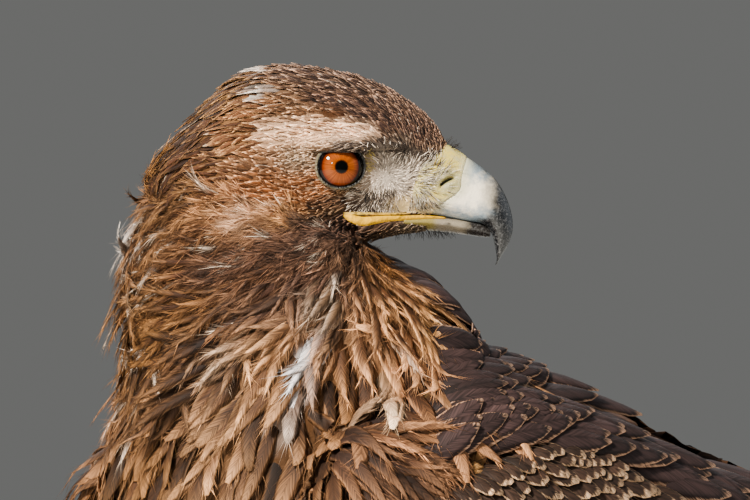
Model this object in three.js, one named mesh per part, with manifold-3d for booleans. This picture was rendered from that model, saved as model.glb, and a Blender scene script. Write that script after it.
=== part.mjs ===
// A golden eagle at life size, standing on level ground with its wings folded and its head turned back
// over its left shoulder. Millimetres, +Z up. The bird faces -Y and its left side is +X.
import * as THREE from "three";
import { mergeVertices } from "three/addons/utils/BufferGeometryUtils.js";
import Module from "manifold-3d";

const wasm = await Module();
wasm.setup();

// Driving dimensions
const EYE_HEIGHT = 540;
const NECK_FORWARD = 60;
const NECK_TO_EYES = 40;
const HEAD_TURN = THREE.MathUtils.degToRad(145);
const GAP = 0.4;
const SEED = 7;

// Colours of skin, horn and plumage
const PLUMAGE = "#6b4630";
const CROWN = "#5a4032";
const NAPE = "#a4693c";
const DARK_PLUMAGE = "#40302a";
const LEG_PLUMAGE = "#7d5638";
const CERE = "#b3ab62";
const GAPE = "#e3c23c";
const HORN = "#7f8a90";
const DARK_HORN = "#2a2c30";
const IRIS = "#b5561b";
const TOE_SKIN = "#d9b52e";

const lerp = THREE.MathUtils.lerp;
const clamp = THREE.MathUtils.clamp;

// A place on the body, from its distance to the bird's left, forward, and above the ground.
const place = (left, forward, up) => new THREE.Vector3(left, -forward, up);

// The head's own frame, with its origin between the eyes: ahead along the bill, to the head's left, and up.
const headAhead = new THREE.Vector3(0, -1, 0).applyAxisAngle(new THREE.Vector3(0, 0, 1), HEAD_TURN);
const headLeft = new THREE.Vector3(0, 0, 1).cross(headAhead);
const headOrigin = place(0, NECK_FORWARD, EYE_HEIGHT).addScaledVector(headAhead, NECK_TO_EYES);
const onHead = (ahead, left, up) =>
  headOrigin.clone().addScaledVector(headAhead, ahead).addScaledVector(headLeft, left).setZ(EYE_HEIGHT + up);

// A smooth row of numbers at share u of the way down a table of rows.
function rowAt(table, u) {
  const reached = clamp(u, 0, 1) * (table.length - 1);
  const i = Math.min(Math.floor(reached), table.length - 2);
  const f = reached - i;
  const [before, from, to, after] = [i - 1, i, i + 1, i + 2].map((k) => table[clamp(k, 0, table.length - 1)]);
  return from.map((value, c) => {
    const out = (to[c] - before[c]) / 2;
    const into = (after[c] - value) / 2;
    const rise = to[c] - value;
    return value + f * (out + f * (3 * rise - 2 * out - into + f * (out + into - 2 * rise)));
  });
}

// A repeatable draw of numbers from 0 to 1.
function drawer(seed) {
  let state = seed;
  return () => {
    state = (state * 1664525 + 1013904223) % 4294967296;
    return state / 4294967296;
  };
}

// A closed three.js geometry as a solid, turned so that its faces point out.
function solidOf(geometry) {
  const bare = new THREE.BufferGeometry();
  bare.setAttribute("position", geometry.getAttribute("position"));
  bare.setIndex(geometry.index);
  const merged = mergeVertices(bare, 1e-4);
  const vertProperties = new Float32Array(merged.attributes.position.array);
  const triVerts = new Uint32Array(merged.index.array);
  const made = new wasm.Manifold(new wasm.Mesh({ numProp: 3, vertProperties, triVerts }));
  if (made.volume() > 0) return made;
  triVerts.reverse();
  return new wasm.Manifold(new wasm.Mesh({ numProp: 3, vertProperties, triVerts }));
}

// A closed skin over rings of points that all have one length. A flat ring has its second half split
// like its first, so that the two faces of a thin vane never cross.
function skinOver(rings, flat = false) {
  const around = rings[0].length;
  const faces = [];
  for (let j = 0; j < around; j++) {
    const k = (j + 1) % around;
    for (let i = 0; i + 1 < rings.length; i++) {
      const [a, b] = [i * around + j, i * around + k];
      const [c, d] = [a + around, b + around];
      if (flat && j >= around / 2) faces.push(a, b, c, b, d, c);
      else faces.push(a, b, d, a, d, c);
    }
  }
  const base = (rings.length - 1) * around;
  for (let j = 1; j + 1 < around; j++) faces.push(0, j + 1, j, base, base + j, base + j + 1);
  const geometry = new THREE.BufferGeometry().setFromPoints(rings.flat());
  geometry.setIndex(faces);
  return solidOf(geometry);
}

// A point on the skin of a lofted form, at share u of its length and at an angle round it that starts
// on the upper outline. Each row of the form's table has a point of the upper outline, a point of the
// lower one and a half width. onto turns the outline's two numbers and a sideways distance into a
// place. A pear above 0 moves the widest line down, and a square under 1 fills the corners.
function onLoft({ table, onto, pear = 0, square = 1, grow = 0 }, u, angle) {
  const round = (x) => Math.sign(x) * Math.abs(x) ** square;
  const [topA, topB, lowA, lowB, width] = rowAt(table, u);
  const [midA, midB] = [(topA + lowA) / 2, (topB + lowB) / 2];
  const more = 1 + grow / Math.hypot(topA - midA, topB - midB);
  const up = round(Math.cos(angle));
  const side = round(Math.sin(angle)) * (width + grow) * (1 - pear * up);
  return onto(midA + (topA - midA) * up * more, midB + (topB - midB) * up * more, side);
}

function loft(form, steps, around) {
  const rings = [];
  for (let i = 0; i <= steps; i++) {
    const ring = [];
    for (let j = 0; j < around; j++) ring.push(onLoft(form, i / steps, (j / around) * 2 * Math.PI));
    rings.push(ring);
  }
  return skinOver(rings);
}

// A round body along a path. Each row has the path's three numbers, then the radii across the path and
// over it, with across as the direction that is sideways.
function sweep({ table, onto, across, steps, around, grow = 0 }) {
  const rings = [];
  for (let i = 0; i <= steps; i++) {
    const u = i / steps;
    const row = rowAt(table, u);
    const ahead = onto(...rowAt(table, u + 0.01)).sub(onto(...rowAt(table, u - 0.01))).normalize();
    const over = new THREE.Vector3().crossVectors(ahead, across).normalize();
    const side = new THREE.Vector3().crossVectors(over, ahead);
    const centre = onto(...row);
    const ring = [];
    for (let j = 0; j < around; j++) {
      const angle = (j / around) * 2 * Math.PI;
      const spot = centre.clone().addScaledVector(side, Math.sin(angle) * (row[3] + grow));
      ring.push(spot.addScaledVector(over, Math.cos(angle) * (row[4] + grow)));
    }
    rings.push(ring);
  }
  return skinOver(rings);
}

// Normal of a surface that turns two numbers into a place, pointing away from the heart of its body.
function normalAt(surface, a, b, heart) {
  const reach = 0.004;
  const step = (value) => reach * Math.max(1, Math.abs(value));
  const alongA = surface(a + step(a), b).sub(surface(a - step(a), b));
  const alongB = surface(a, b + step(b)).sub(surface(a, b - step(b)));
  const normal = new THREE.Vector3().crossVectors(alongA, alongB).normalize();
  return surface(a, b).sub(heart).dot(normal) < 0 ? normal.negate() : normal;
}

// Outlines of feathers: shares of the length from the root, each with its share of the full width and
// its share of the lift. The root is sunk under the surface that the feather lies on.
const ROUNDED = [
  [0, 0.6, 0],
  [0.3, 0.95, 0.62],
  [0.78, 0.95, 0.9],
  [1, 0.3, 1],
];
const LONG = [
  [0, 0.7, 0],
  [0.12, 0.9, 0.55],
  [0.7, 1, 0.85],
  [0.93, 0.66, 1],
  [1, 0.2, 1],
];
const SQUARED = [
  [0, 0.4, 0],
  [0.35, 0.8, 1],
  [0.93, 1, 1],
  [1, 0.62, 1],
];
const LANCE = [
  [0, 0.8, 0],
  [0.35, 1, 0.6],
  [0.75, 0.66, 0.9],
  [1, 0.1, 1],
];

// One feather as a thin vane that lies along a surface, from its sunk root to its lifted tip. Root and tip
// are pairs of the surface's numbers. A roll raises one edge over the next feather.
function vane({ surface, heart, outline, root, tip, width, lift, sink = 3, roll = 0, thick = 0.9 }) {
  const at = (u) => [lerp(root[0], tip[0], u), lerp(root[1], tip[1], u)];
  const rings = outline.map(([u, share, raise]) => {
    const along = surface(...at(u + 0.03)).sub(surface(...at(u - 0.03))).normalize();
    const out = normalAt(surface, ...at(u), heart);
    const across = new THREE.Vector3().crossVectors(out, along).normalize();
    const half = (share * width) / 2;
    const height = lerp(-sink, lift, raise);
    const corner = (side, over) => {
      const spot = surface(...at(u)).addScaledVector(across, side * half);
      return spot.addScaledVector(out, height - side * roll * half + over);
    };
    return [corner(1, 0), corner(1, thick), corner(-1, thick), corner(-1, 0)];
  });
  return skinOver(rings, true);
}

// A solid seen in a mirror along the body's middle for side -1, or as it is.
function mirrored(solid, side) {
  const mesh = solid.getMesh();
  const geometry = new THREE.BufferGeometry();
  geometry.setAttribute("position", new THREE.BufferAttribute(new Float32Array(mesh.vertProperties), 3));
  geometry.setIndex(new THREE.BufferAttribute(new Uint32Array(mesh.triVerts), 1));
  geometry.scale(side, 1, 1);
  return solidOf(geometry);
}

// All that lies on one side of a plane, as far as this model reaches.
function halfSpace(point, away) {
  const reach = 1600;
  const upright = new THREE.Vector3(0, 0, 1);
  const box = new THREE.BoxGeometry(reach, reach, reach);
  box.translate(0, 0, reach / 2);
  box.applyQuaternion(new THREE.Quaternion().setFromUnitVectors(upright, away.clone().normalize()));
  box.translate(point.x, point.y, point.z);
  return solidOf(box);
}

// A prism across the head, from an outline in its ahead and up directions.
function acrossHead(outline, from, to) {
  const shape = new THREE.Shape(outline.map(([ahead, up]) => new THREE.Vector2(ahead, up)));
  const prism = new THREE.ExtrudeGeometry(shape, { depth: to - from, bevelEnabled: false });
  const spots = prism.getAttribute("position");
  for (let i = 0; i < spots.count; i++) {
    const spot = onHead(spots.getX(i), from + spots.getZ(i), spots.getY(i));
    spots.setXYZ(i, spot.x, spot.y, spot.z);
  }
  return solidOf(mergeVertices(new THREE.BufferGeometry().setAttribute("position", spots), 1e-4));
}

// Largest closed body of a solid: a loose scrap or a sealed hollow is dropped.
const mainBody = (solid) => solid.decompose().reduce((a, b) => (a.volume() > b.volume() ? a : b));

const eagle = new THREE.Group();
const stance = new THREE.Group();
eagle.add(stance);

function addNode(name, solid, color, roughness = 0.8) {
  const mesh = mainBody(solid).getMesh();
  const points = new Float32Array(mesh.numVert * 3);
  for (let i = 0; i < mesh.numVert; i++) {
    points.set(mesh.vertProperties.subarray(i * mesh.numProp, i * mesh.numProp + 3), i * 3);
  }
  const geometry = new THREE.BufferGeometry();
  geometry.setAttribute("position", new THREE.BufferAttribute(points, 3));
  geometry.setIndex(new THREE.BufferAttribute(new Uint32Array(mesh.triVerts), 1));
  geometry.computeVertexNormals();
  const material = new THREE.MeshStandardMaterial({ color, roughness, metalness: 0 });
  const made = new THREE.Mesh(geometry, material);
  made.name = name;
  stance.add(made);
}

// Trunk: upper and lower outlines from the tail's root to the neck, forward and up, then half widths.
const TRUNK = [
  [-262, 352, -246, 326, 16],
  [-236, 370, -214, 296, 40],
  [-190, 392, -160, 274, 62],
  [-135, 415, -95, 260, 76],
  [-80, 438, -25, 256, 83],
  [-45, 456, 42, 270, 86],
  [-22, 478, 84, 302, 85],
  [-6, 494, 107, 348, 79],
  [8, 506, 111, 398, 70],
  [24, 518, 98, 444, 58],
  [44, 524, 88, 478, 40],
];
const alongBody = (forward, up, left) => place(left, forward, up);
const trunk = (grow = 0) => loft({ table: TRUNK, onto: alongBody, square: 0.95, grow }, 16, 20);

// Neck: level sections in the head's frame, from inside the trunk up into the skull: height, then the
// nape's and the throat's places, then half width.
const NECK = [
  [-126, -74, 22, 42],
  [-114, -82, 44, 52],
  [-100, -87, 58, 57],
  [-86, -88, 62, 57],
  [-68, -89, 56, 52],
  [-50, -89, 41, 48],
  [-34, -88, 22, 44],
  [-18, -84, 10, 40],
  [-2, -75, 6, 38],
  [12, -64, -4, 34],
  [26, -52, -14, 26],
  [34, -42, -24, 12],
];
const alongHead = (ahead, up, left) => onHead(ahead, left, up);
const neckForm = {
  table: NECK.map(([up, nape, throat, width]) => [nape, up, throat, up, width]),
  onto: alongHead,
};
const neckColumn = (grow = 0) => loft({ ...neckForm, grow }, 14, 20);

// Skull with its feathers: crown and jaw outlines from the face to the back of the head, then half widths.
const SKULL = [
  [43, 8, 37, -22, 9],
  [41, 14, 33, -25, 14],
  [35, 23, 26, -25, 17],
  [24, 31, 20, -26, 21],
  [10, 38, 8, -31, 24.5],
  [-6, 41.5, -6, -37, 28],
  [-22, 43, -22, -40, 33.5],
  [-38, 40, -38, -40, 37],
  [-54, 26, -54, -36, 34],
  [-68, 10, -66, -26, 25],
  [-76, -2, -75, -12, 10],
];
const skull = () => loft({ table: SKULL, onto: alongHead, pear: 0.08 }, 15, 18);

// Eyes look out and ahead from deep under the brow.
const EYE = { radius: 12, ahead: -4.5, out: 17.5, up: 0.8, turn: THREE.MathUtils.degToRad(68) };

function ball(centre, radius, across, down) {
  const sphere = new THREE.SphereGeometry(radius, across, down);
  sphere.deleteAttribute("normal");
  sphere.deleteAttribute("uv");
  sphere.translate(centre.x, centre.y, centre.z);
  return solidOf(mergeVertices(sphere, 1e-4));
}

const eyeCentre = (side) => onHead(EYE.ahead, EYE.out * side, EYE.up);

function addEyes() {
  for (const [name, side] of [["eye_left", 1], ["eye_right", -1]]) {
    addNode(name, ball(eyeCentre(side), EYE.radius, 14, 10), IRIS, 0.1);
  }
}

// A brow is a bony shelf with short feathers that shades the eye.
const BROW = [
  [-14, 24, 7, 2, 2],
  [-8, 27, 11, 4, 4],
  [2, 27, 12, 4.5, 4.5],
  [12, 24.5, 11, 4, 4],
  [22, 19, 9, 2, 2],
];
const besideHead = (side) => ({ onto: (p, q, z) => onHead(p, q * side, z), across: headLeft });
const brow = (side) => sweep({ table: BROW, ...besideHead(side), steps: 5, around: 6 });

const eyeFacing = (side) =>
  headAhead
    .clone()
    .multiplyScalar(Math.cos(EYE.turn))
    .addScaledVector(headLeft, side * Math.sin(EYE.turn));
const LID = { radius: 9.8, thickness: 1.9, out: 8 };

// Lids ring the part of each eye that shows.
function lid(side) {
  const facing = eyeFacing(side);
  const ring = new THREE.TorusGeometry(LID.radius, LID.thickness, 4, 12);
  ring.deleteAttribute("normal");
  ring.deleteAttribute("uv");
  ring.applyQuaternion(new THREE.Quaternion().setFromUnitVectors(new THREE.Vector3(0, 0, 1), facing));
  const centre = eyeCentre(side).addScaledVector(facing, LID.out);
  ring.translate(centre.x, centre.y, centre.z);
  return solidOf(mergeVertices(ring, 1e-4));
}

// Upper bill with its cere: culmen and cutting edge from the face to the hook's tip, then half widths.
const BILL = [
  [40, 11, 31, -18, 13.5],
  [46, 8, 37, -18.4, 12],
  [51.2, 4.6, 43, -19.6, 10.6],
  [56, 1.4, 48, -20.6, 9.4],
  [60.4, -2, 52.5, -21.2, 8.4],
  [64.2, -6.6, 56.5, -22, 7.2],
  [67.2, -12.6, 59.6, -24, 6],
  [69, -18.8, 61.2, -26.8, 4.9],
  [69.2, -24.6, 62, -30.2, 3.8],
  [67.6, -30, 62.6, -33.6, 2.7],
  [65, -34.4, 62.8, -36.4, 1.6],
  [63, -38, 62.2, -38.4, 0.6],
];
const upperBill = (grow = 0) => loft({ table: BILL, onto: alongHead, pear: 0.32, grow }, 18, 12);

// Lower bill, shut inside the hook.
const JAW = [
  [26, -19.2, 25, -24.6, 10.5],
  [36, -19.4, 35, -24.8, 9.2],
  [44, -20.6, 44, -25.4, 7.8],
  [51, -21.8, 51, -26.4, 6.4],
  [57, -23.4, 57, -27.2, 4.8],
  [60, -25.4, 60, -27.2, 2.6],
];
const lowerBill = () => loft({ table: JAW, onto: alongHead, pear: -0.2 }, 8, 10);

// Where the face's feathers end, and where the soft cere ends on the horn, as ahead and up.
const FACE_LINE = [
  [44, 16],
  [39.5, 10],
  [37.5, 0],
  [37, -10],
  [35, -17.6],
  [30, -18.6],
  [30, -40],
];
const CERE_LINE = [
  [53, 10],
  [51.4, 4],
  [49.8, -2.4],
  [49.6, -6.4],
  [48, -9.8],
  [44.8, -12.8],
  [41, -15.2],
  [38, -17.2],
  [35.6, -21],
];
const beyond = (line, shift) => [...line.map(([p, z]) => [p + shift, z]), [90, -60], [90, 40]];
const HALF_FACE = 40;

// Yellow gape: a fleshy lip at each corner of the mouth, with the line of the mouth along it.
const GAPE_LIP = [
  [2, 26.6, -18.2, 1, 1],
  [5, 26.6, -19.4, 1.8, 2.4],
  [10, 25.4, -20, 2, 3.2],
  [18, 23, -18.8, 2, 2.6],
  [26, 19.6, -18.2, 2, 2],
  [33, 16.2, -18.2, 1.4, 1.2],
];
const gapeLip = (side, grow = 0) =>
  sweep({ table: GAPE_LIP, ...besideHead(side), steps: 7, around: 6, grow });
const MOUTH_LINE = [
  [0, -18.9],
  [14, -19.1],
  [34, -18.3],
  [34, -18.9],
  [14, -19.7],
  [0, -19.5],
];

// A nostril is a slanting slit in the cere.
function nostril(side) {
  const slit = new THREE.SphereGeometry(1, 10, 8);
  slit.deleteAttribute("normal");
  slit.deleteAttribute("uv");
  slit.scale(3.4, 3.2, 1);
  slit.rotateY(THREE.MathUtils.degToRad(-32));
  slit.rotateZ(Math.atan2(headAhead.y, headAhead.x));
  const centre = onHead(43, 11.2 * side, -4.4);
  slit.translate(centre.x, centre.y, centre.z);
  return solidOf(mergeVertices(slit, 1e-4));
}

// Parting planes between the head and the neck, and between the neck and the trunk.
const HEAD_PARTING = { point: onHead(-30, 0, -15), normal: onHead(33, 0, 95).sub(onHead(0, 0, 0)) };
const NECK_PARTING = { point: place(0, 50, 474), normal: place(0, 0.42, 0.9) };
const above = ({ point, normal }) =>
  halfSpace(point.clone().addScaledVector(normal.clone().normalize(), GAP / 2), normal);
const below = ({ point, normal }) =>
  halfSpace(point.clone().addScaledVector(normal.clone().normalize(), -GAP / 2), normal.clone().negate());

function addHead() {
  const face = acrossHead(beyond(FACE_LINE, 0), -HALF_FACE, HALF_FACE);
  const bill = upperBill();
  const soft = acrossHead(beyond(CERE_LINE, -GAP), -HALF_FACE, HALF_FACE);
  const horn = acrossHead(beyond(CERE_LINE, 0), -HALF_FACE, HALF_FACE);
  const front = acrossHead(beyond(FACE_LINE, GAP), -HALF_FACE, HALF_FACE);
  const mouth = acrossHead(MOUTH_LINE, -HALF_FACE, HALF_FACE);
  let head = skull().add(neckColumn()).intersect(above(HEAD_PARTING)).subtract(trunk(GAP));
  for (const side of [1, -1]) {
    const before = eyeCentre(side).addScaledVector(eyeFacing(side), EYE.radius + 1);
    const opening = ball(before, LID.radius, 10, 7);
    head = head.subtract(opening).add(brow(side)).add(lid(side));
  }
  head = head.subtract(face);
  for (const side of [1, -1]) {
    head = head.subtract(ball(eyeCentre(side), EYE.radius + 2 * GAP, 14, 10));
  }
  for (const [name, side] of [["gape_left", 1], ["gape_right", -1]]) {
    const lip = gapeLip(side).subtract(front);
    addNode(name, lip, GAPE, 0.5);
    head = head.subtract(gapeLip(side, GAP)).subtract(halfLip(side));
  }
  addNode("head", head.subtract(mouth), CROWN);
  const cere = bill.intersect(front).subtract(soft).subtract(nostril(1)).subtract(nostril(-1));
  addNode("cere", cere, CERE, 0.55);
  addNode("bill_upper", bill.intersect(horn), HORN, 0.35);
  addNode("bill_lower", lowerBill().intersect(front).subtract(upperBill(GAP)), HORN, 0.35);
  addEyes();
}

// The ends of the lips reach a little past their own sweep, so the seat in the face is cut longer.
const halfLip = (side) => ball(onHead(1.6, 26.6 * side, -18.2), 1.4, 8, 6);

// Hackles: pointed feathers in rows down the neck, each row given by its share of the neck's height. They
// stay clear of the parting planes, and one that would mostly lie inside the shoulders is left out.
const HACKLES = { rows: [0.75, 0.69, 0.63, 0.57, 0.51], around: 15, drop: 0.19, width: 13, lift: 4 };
const HACKLE_CLEAR = 7;
const HACKLE_SHOWN = 0.7;

function hackles() {
  const draw = drawer(SEED);
  const heart = onHead(-35, 0, -40);
  const fromPlane = ({ point, normal }, spot) => spot.clone().sub(point).dot(normal.clone().normalize());
  const made = [];
  for (const [row, high] of HACKLES.rows.entries()) {
    for (let k = 0; k < HACKLES.around; k++) {
      const angle = ((k + (row % 2) / 2 + 0.2 * draw()) / HACKLES.around) * 2 * Math.PI;
      const root = [high + 0.02 * draw(), angle];
      const tip = [high - HACKLES.drop * (0.9 + 0.25 * draw()), angle + 0.1 * (draw() - 0.5)];
      const surface = (u, round) => onLoft(neckForm, u, round);
      const lift = HACKLES.lift * (0.7 + 0.8 * draw());
      const [start, end] = [surface(...root), surface(...tip)];
      const inHead = fromPlane(HEAD_PARTING, start) > -HACKLE_CLEAR;
      const inTrunk = fromPlane(NECK_PARTING, end) < HACKLE_CLEAR;
      if (inHead || inTrunk) continue;
      made.push(vane({ surface, heart, outline: LANCE, root, tip, width: HACKLES.width, lift }));
    }
  }
  return made;
}

function addBody() {
  const whole = skull().add(neckColumn()).intersect(below(HEAD_PARTING)).add(trunk());
  const shoulders = trunk(GAP);
  const isShown = (hackle) => hackle.subtract(shoulders).volume() > HACKLE_SHOWN * hackle.volume();
  const shown = hackles().filter(isShown);
  const feathered = shown.reduce((sum, hackle) => sum.add(hackle), whole.intersect(above(NECK_PARTING)));
  addHead();
  addNode("neck", feathered, NAPE);
  addNode("torso", whole.intersect(below(NECK_PARTING)), PLUMAGE);
}

// Folded wing: stations from the wrist to the tips. Each has its forward place, the upper edge, the
// shoulder of its bow and the lower edge, each as sideways and up, and its thickness.
const WING = [
  [82, 88, 392, 96, 378, 92, 352, 6],
  [78, 87, 405, 101, 392, 97, 336, 14],
  [66, 82, 425, 107, 413, 101, 322, 20],
  [36, 66, 448, 113, 434, 107, 306, 22],
  [0, 50, 466, 118, 450, 111, 292, 22],
  [-50, 34, 458, 121, 437, 113, 281, 20],
  [-100, 22, 443, 116, 418, 110, 275, 18],
  [-150, 15, 425, 107, 398, 103, 270, 16],
  [-200, 11, 403, 97, 378, 94, 265, 14],
  [-250, 9, 378, 86, 355, 84, 260, 12],
  [-300, 9, 350, 77, 328, 76, 256, 9],
  [-350, 10, 319, 69, 303, 69, 249, 7],
  [-400, 13, 289, 61, 277, 62, 243, 6],
  [-450, 18, 263, 53, 256, 56, 237, 5],
  [-505, 27, 240, 42, 236, 45, 227, 3],
];

// Share of the way down the table at which the wing reaches a forward place.
function wingShare(forward) {
  const next = WING.findIndex(([reached]) => reached < forward);
  if (next < 1) return next < 0 ? 1 : 0;
  const [ahead, behind] = [WING[next - 1][0], WING[next][0]];
  return (next - 1 + (ahead - forward) / (ahead - behind)) / (WING.length - 1);
}

// A place on the left wing's outer face, from a share of its length and a share of the way from its
// lower to its upper edge.
function wingFace(share, rise) {
  const [forward, topX, topZ, bowX, bowZ, lowX, lowZ] = rowAt(WING, share);
  const mix = (low, bow, top) => (1 - rise) ** 2 * low + 2 * rise * (1 - rise) * bow + rise ** 2 * top;
  return place(mix(lowX, bowX, topX), forward, mix(lowZ, bowZ, topZ));
}

const WING_HEART = place(0, -150, 330);

// Left wing without its feathers, thinned towards the tips.
function wingCore() {
  const steps = 14;
  const spots = 4;
  const rings = [];
  for (let i = 0; i <= steps; i++) {
    const share = i / steps;
    const thick = rowAt(WING, share)[7];
    const outer = [];
    const inner = [];
    for (let j = 0; j < spots; j++) {
      const rise = j / (spots - 1);
      const spot = wingFace(share, rise);
      outer.push(spot);
      inner.unshift(spot.clone().addScaledVector(normalAt(wingFace, share, rise, WING_HEART), -thick));
    }
    rings.push([...outer, ...inner]);
  }
  return skinOver(rings, true);
}

// Rows of wing feathers: primaries, secondaries, four rows of coverts and three of scapulars. Each has
// its count, the lowest and the highest tip as forward and rise, the lowest and the highest root, the
// width, how far the tips stand off the core, and the roll.
const WING_ROWS = [
  [5, [-512, 0.3, -410, 0.9], [-225, 0.16, -345, 0.84], 20, 3, 0.2],
  [7, [-235, 0.07, -365, 0.9], [-90, 0.1, -236, 0.7], 26, 3.6, 0.14],
  [6, [-100, 0.07, -243, 0.64], [-36, 0.1, -160, 0.6], 26, 3.8, -0.08],
  [6, [-44, 0.08, -172, 0.62], [10, 0.12, -98, 0.6], 25, 3.6, -0.08],
  [6, [0, 0.1, -110, 0.6], [46, 0.14, -42, 0.58], 25, 3.6, -0.08],
  [5, [38, 0.14, -54, 0.58], [70, 0.2, 6, 0.56], 25, 3.6, -0.08],
  [3, [-244, 0.76, -260, 0.92], [-152, 0.76, -162, 0.92], 26, 7, 0.2],
  [3, [-165, 0.74, -175, 0.92], [-82, 0.74, -88, 0.92], 28, 6, 0.2],
  [3, [-95, 0.72, -102, 0.91], [-12, 0.72, -16, 0.91], 30, 5, 0.2],
];
const LONG_ROWS = 2;

function wingFeathers(draw) {
  const surface = (forward, rise) => wingFace(wingShare(forward), rise);
  const made = [];
  for (const [row, [count, tips, roots, width, lift, roll]] of WING_ROWS.entries()) {
    const outline = row < LONG_ROWS ? LONG : ROUNDED;
    for (let k = 0; k < count; k++) {
      const along = (ends) => [0, 1].map((c) => lerp(ends[c], ends[c + 2], k / (count - 1)));
      const [root, tip] = [along(roots), along(tips)];
      tip[0] += 5 * (draw() - 0.5);
      made.push(vane({ surface, heart: WING_HEART, outline, root, tip, width, lift, roll }));
    }
  }
  return made;
}

function addWings() {
  const clear = trunk(GAP).add(neckColumn(GAP)).add(tailCore(GAP)).add(tailRoom());
  const leftHalf = halfSpace(place(GAP, 0, 0), place(1, 0, 0));
  for (const [name, side] of [["wing_left", 1], ["wing_right", -1]]) {
    const feathers = wingFeathers(drawer(SEED + side));
    const whole = feathers.reduce((sum, feather) => sum.add(feather), wingCore()).intersect(leftHalf);
    addNode(name, mirrored(whole, side).subtract(clear), DARK_PLUMAGE);
  }
}

// Tail: upper and lower outlines of its core from root to tip, forward and up, then half width.
const TAIL = [
  [-250, 345, -244, 322, 20],
  [-290, 331, -284, 312, 32],
  [-340, 306, -335, 293, 38],
  [-400, 275, -396, 265, 40],
  [-455, 247, -452, 240, 36],
];
const tailCore = (grow = 0) => loft({ table: TAIL, onto: alongBody, square: 0.8, grow }, 8, 12);

// Tail feathers on each side: the middle pair lies on top, and each next pair is lower, further out and
// a little shorter. The fan lies on one slope, from the height of its roots.
const FAN = { pairs: 6, root: -330, tip: -520, middle: 5, spread: 5.6, shorter: 1.5, top: 4, layer: 0.85 };
const SLOPE = { height: 311, fall: 0.535 };
const FAN_ROOM = { atRoot: 34, atTip: 60, over: 5, under: -8, behind: 10 };
const onTail = (forward, left, over = 0) =>
  place(left, forward, SLOPE.height + (forward - FAN.root) * SLOPE.fall + over);

// The room that the fan of tail feathers takes under the wings' tips.
function tailRoom() {
  const { atRoot, atTip, over, under, behind } = FAN_ROOM;
  const ring = (forward, half) => {
    const corners = [[half, over], [-half, over], [-half, under], [half, under]];
    return corners.map(([left, height]) => onTail(forward, left, height));
  };
  return skinOver([ring(FAN.root, atRoot), ring(FAN.tip - behind, atTip)]);
}

function tailFeathers() {
  const surface = (forward, left) => onTail(forward, left);
  const shared = { surface, heart: place(0, -400, 0), outline: SQUARED, width: 44, sink: 6, thick: 0.6 };
  const made = [];
  for (let k = 0; k < 2 * FAN.pairs; k++) {
    const pair = Math.floor(k / 2);
    const out = (k % 2 ? -1 : 1) * (FAN.middle + pair * FAN.spread);
    const [root, tip] = [[FAN.root, out / 2], [FAN.tip + pair * FAN.shorter, out]];
    made.push(vane({ ...shared, root, tip, lift: FAN.top - k * FAN.layer }));
  }
  return made;
}

function addTail() {
  const whole = tailFeathers().reduce((sum, feather) => sum.add(feather), tailCore());
  addNode("tail", whole.subtract(trunk(GAP)), DARK_PLUMAGE);
}

// Legs: the feathered thigh, then the feathered shank down to the toes.
const FOOT = { out: 60, forward: -58 };
const THIGH_OUT = 51;
const THIGH = [
  [16, 320, -108, 300, 30],
  [24, 285, -118, 258, 40],
  [20, 244, -124, 212, 42],
  [2, 202, -130, 168, 39],
  [-26, 162, -136, 128, 33],
  [-52, 126, -138, 96, 26],
  [-70, 102, -134, 78, 18],
  [-82, 90, -122, 74, 9],
];
const thigh = (side, grow = 0) => {
  const onto = (forward, up, x) => place(side * THIGH_OUT + x, forward, up);
  return loft({ table: THIGH, onto, grow }, 9, 14);
};
const SHANK = [
  [-104, 0, 112, 15, 17],
  [-98, 0, 92, 16, 18],
  [-84, 0, 62, 14, 16],
  [-70, 0, 36, 14, 15],
  [-62, 0, 20, 16, 16],
  [-59, 0, 8, 17, 17],
  [-59, 0, -6, 16, 16],
];
const shank = (side, grow = 0) => {
  const onto = (f, x, z) => place(side * FOOT.out + x, f, z);
  return sweep({ table: SHANK, onto, across: place(1, 0, 0), steps: 8, around: 12, grow });
};

// Toes, each by its number, with its turn from straight ahead towards the bird's middle, its length,
// and its claw's length along the curve.
const TOES = [
  { number: 3, turn: -4, length: 74, claw: 34 },
  { number: 2, turn: 34, length: 52, claw: 42 },
  { number: 4, turn: -44, length: 56, claw: 28 },
  { number: 1, turn: 168, length: 46, claw: 46 },
];
const TOE_START = 18;

// One toe with its three pads, from inside the foot to the root of its claw. Its rows have the distance
// along the toe, a sideways place, the height, and the two radii.
function toeTable(length) {
  const along = (share) => TOE_START + share * length;
  return [
    [TOE_START - 8, 0, 8, 8, 8.6],
    [TOE_START, 0, 8.2, 8.6, 9],
    [along(0.3), 0, 8, 7.6, 7.8],
    [along(0.45), 0, 8, 8.2, 8.8],
    [along(0.65), 0, 8.4, 7, 7.4],
    [along(0.85), 0, 7.4, 7.4, 8.2],
    [along(1) - 1, 0, 9, 5.2, 5.6],
  ];
}

function clawTable(length, claw) {
  const start = TOE_START + length + GAP;
  return [
    [start, 0, 10, 3.6, 4.6],
    [start + claw * 0.25, 0, 14, 3.4, 4.4],
    [start + claw * 0.5, 0, 13, 2.7, 3.4],
    [start + claw * 0.66, 0, 8, 1.8, 2.2],
    [start + claw * 0.72, 0, 2, 0.5, 0.5],
  ];
}

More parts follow.
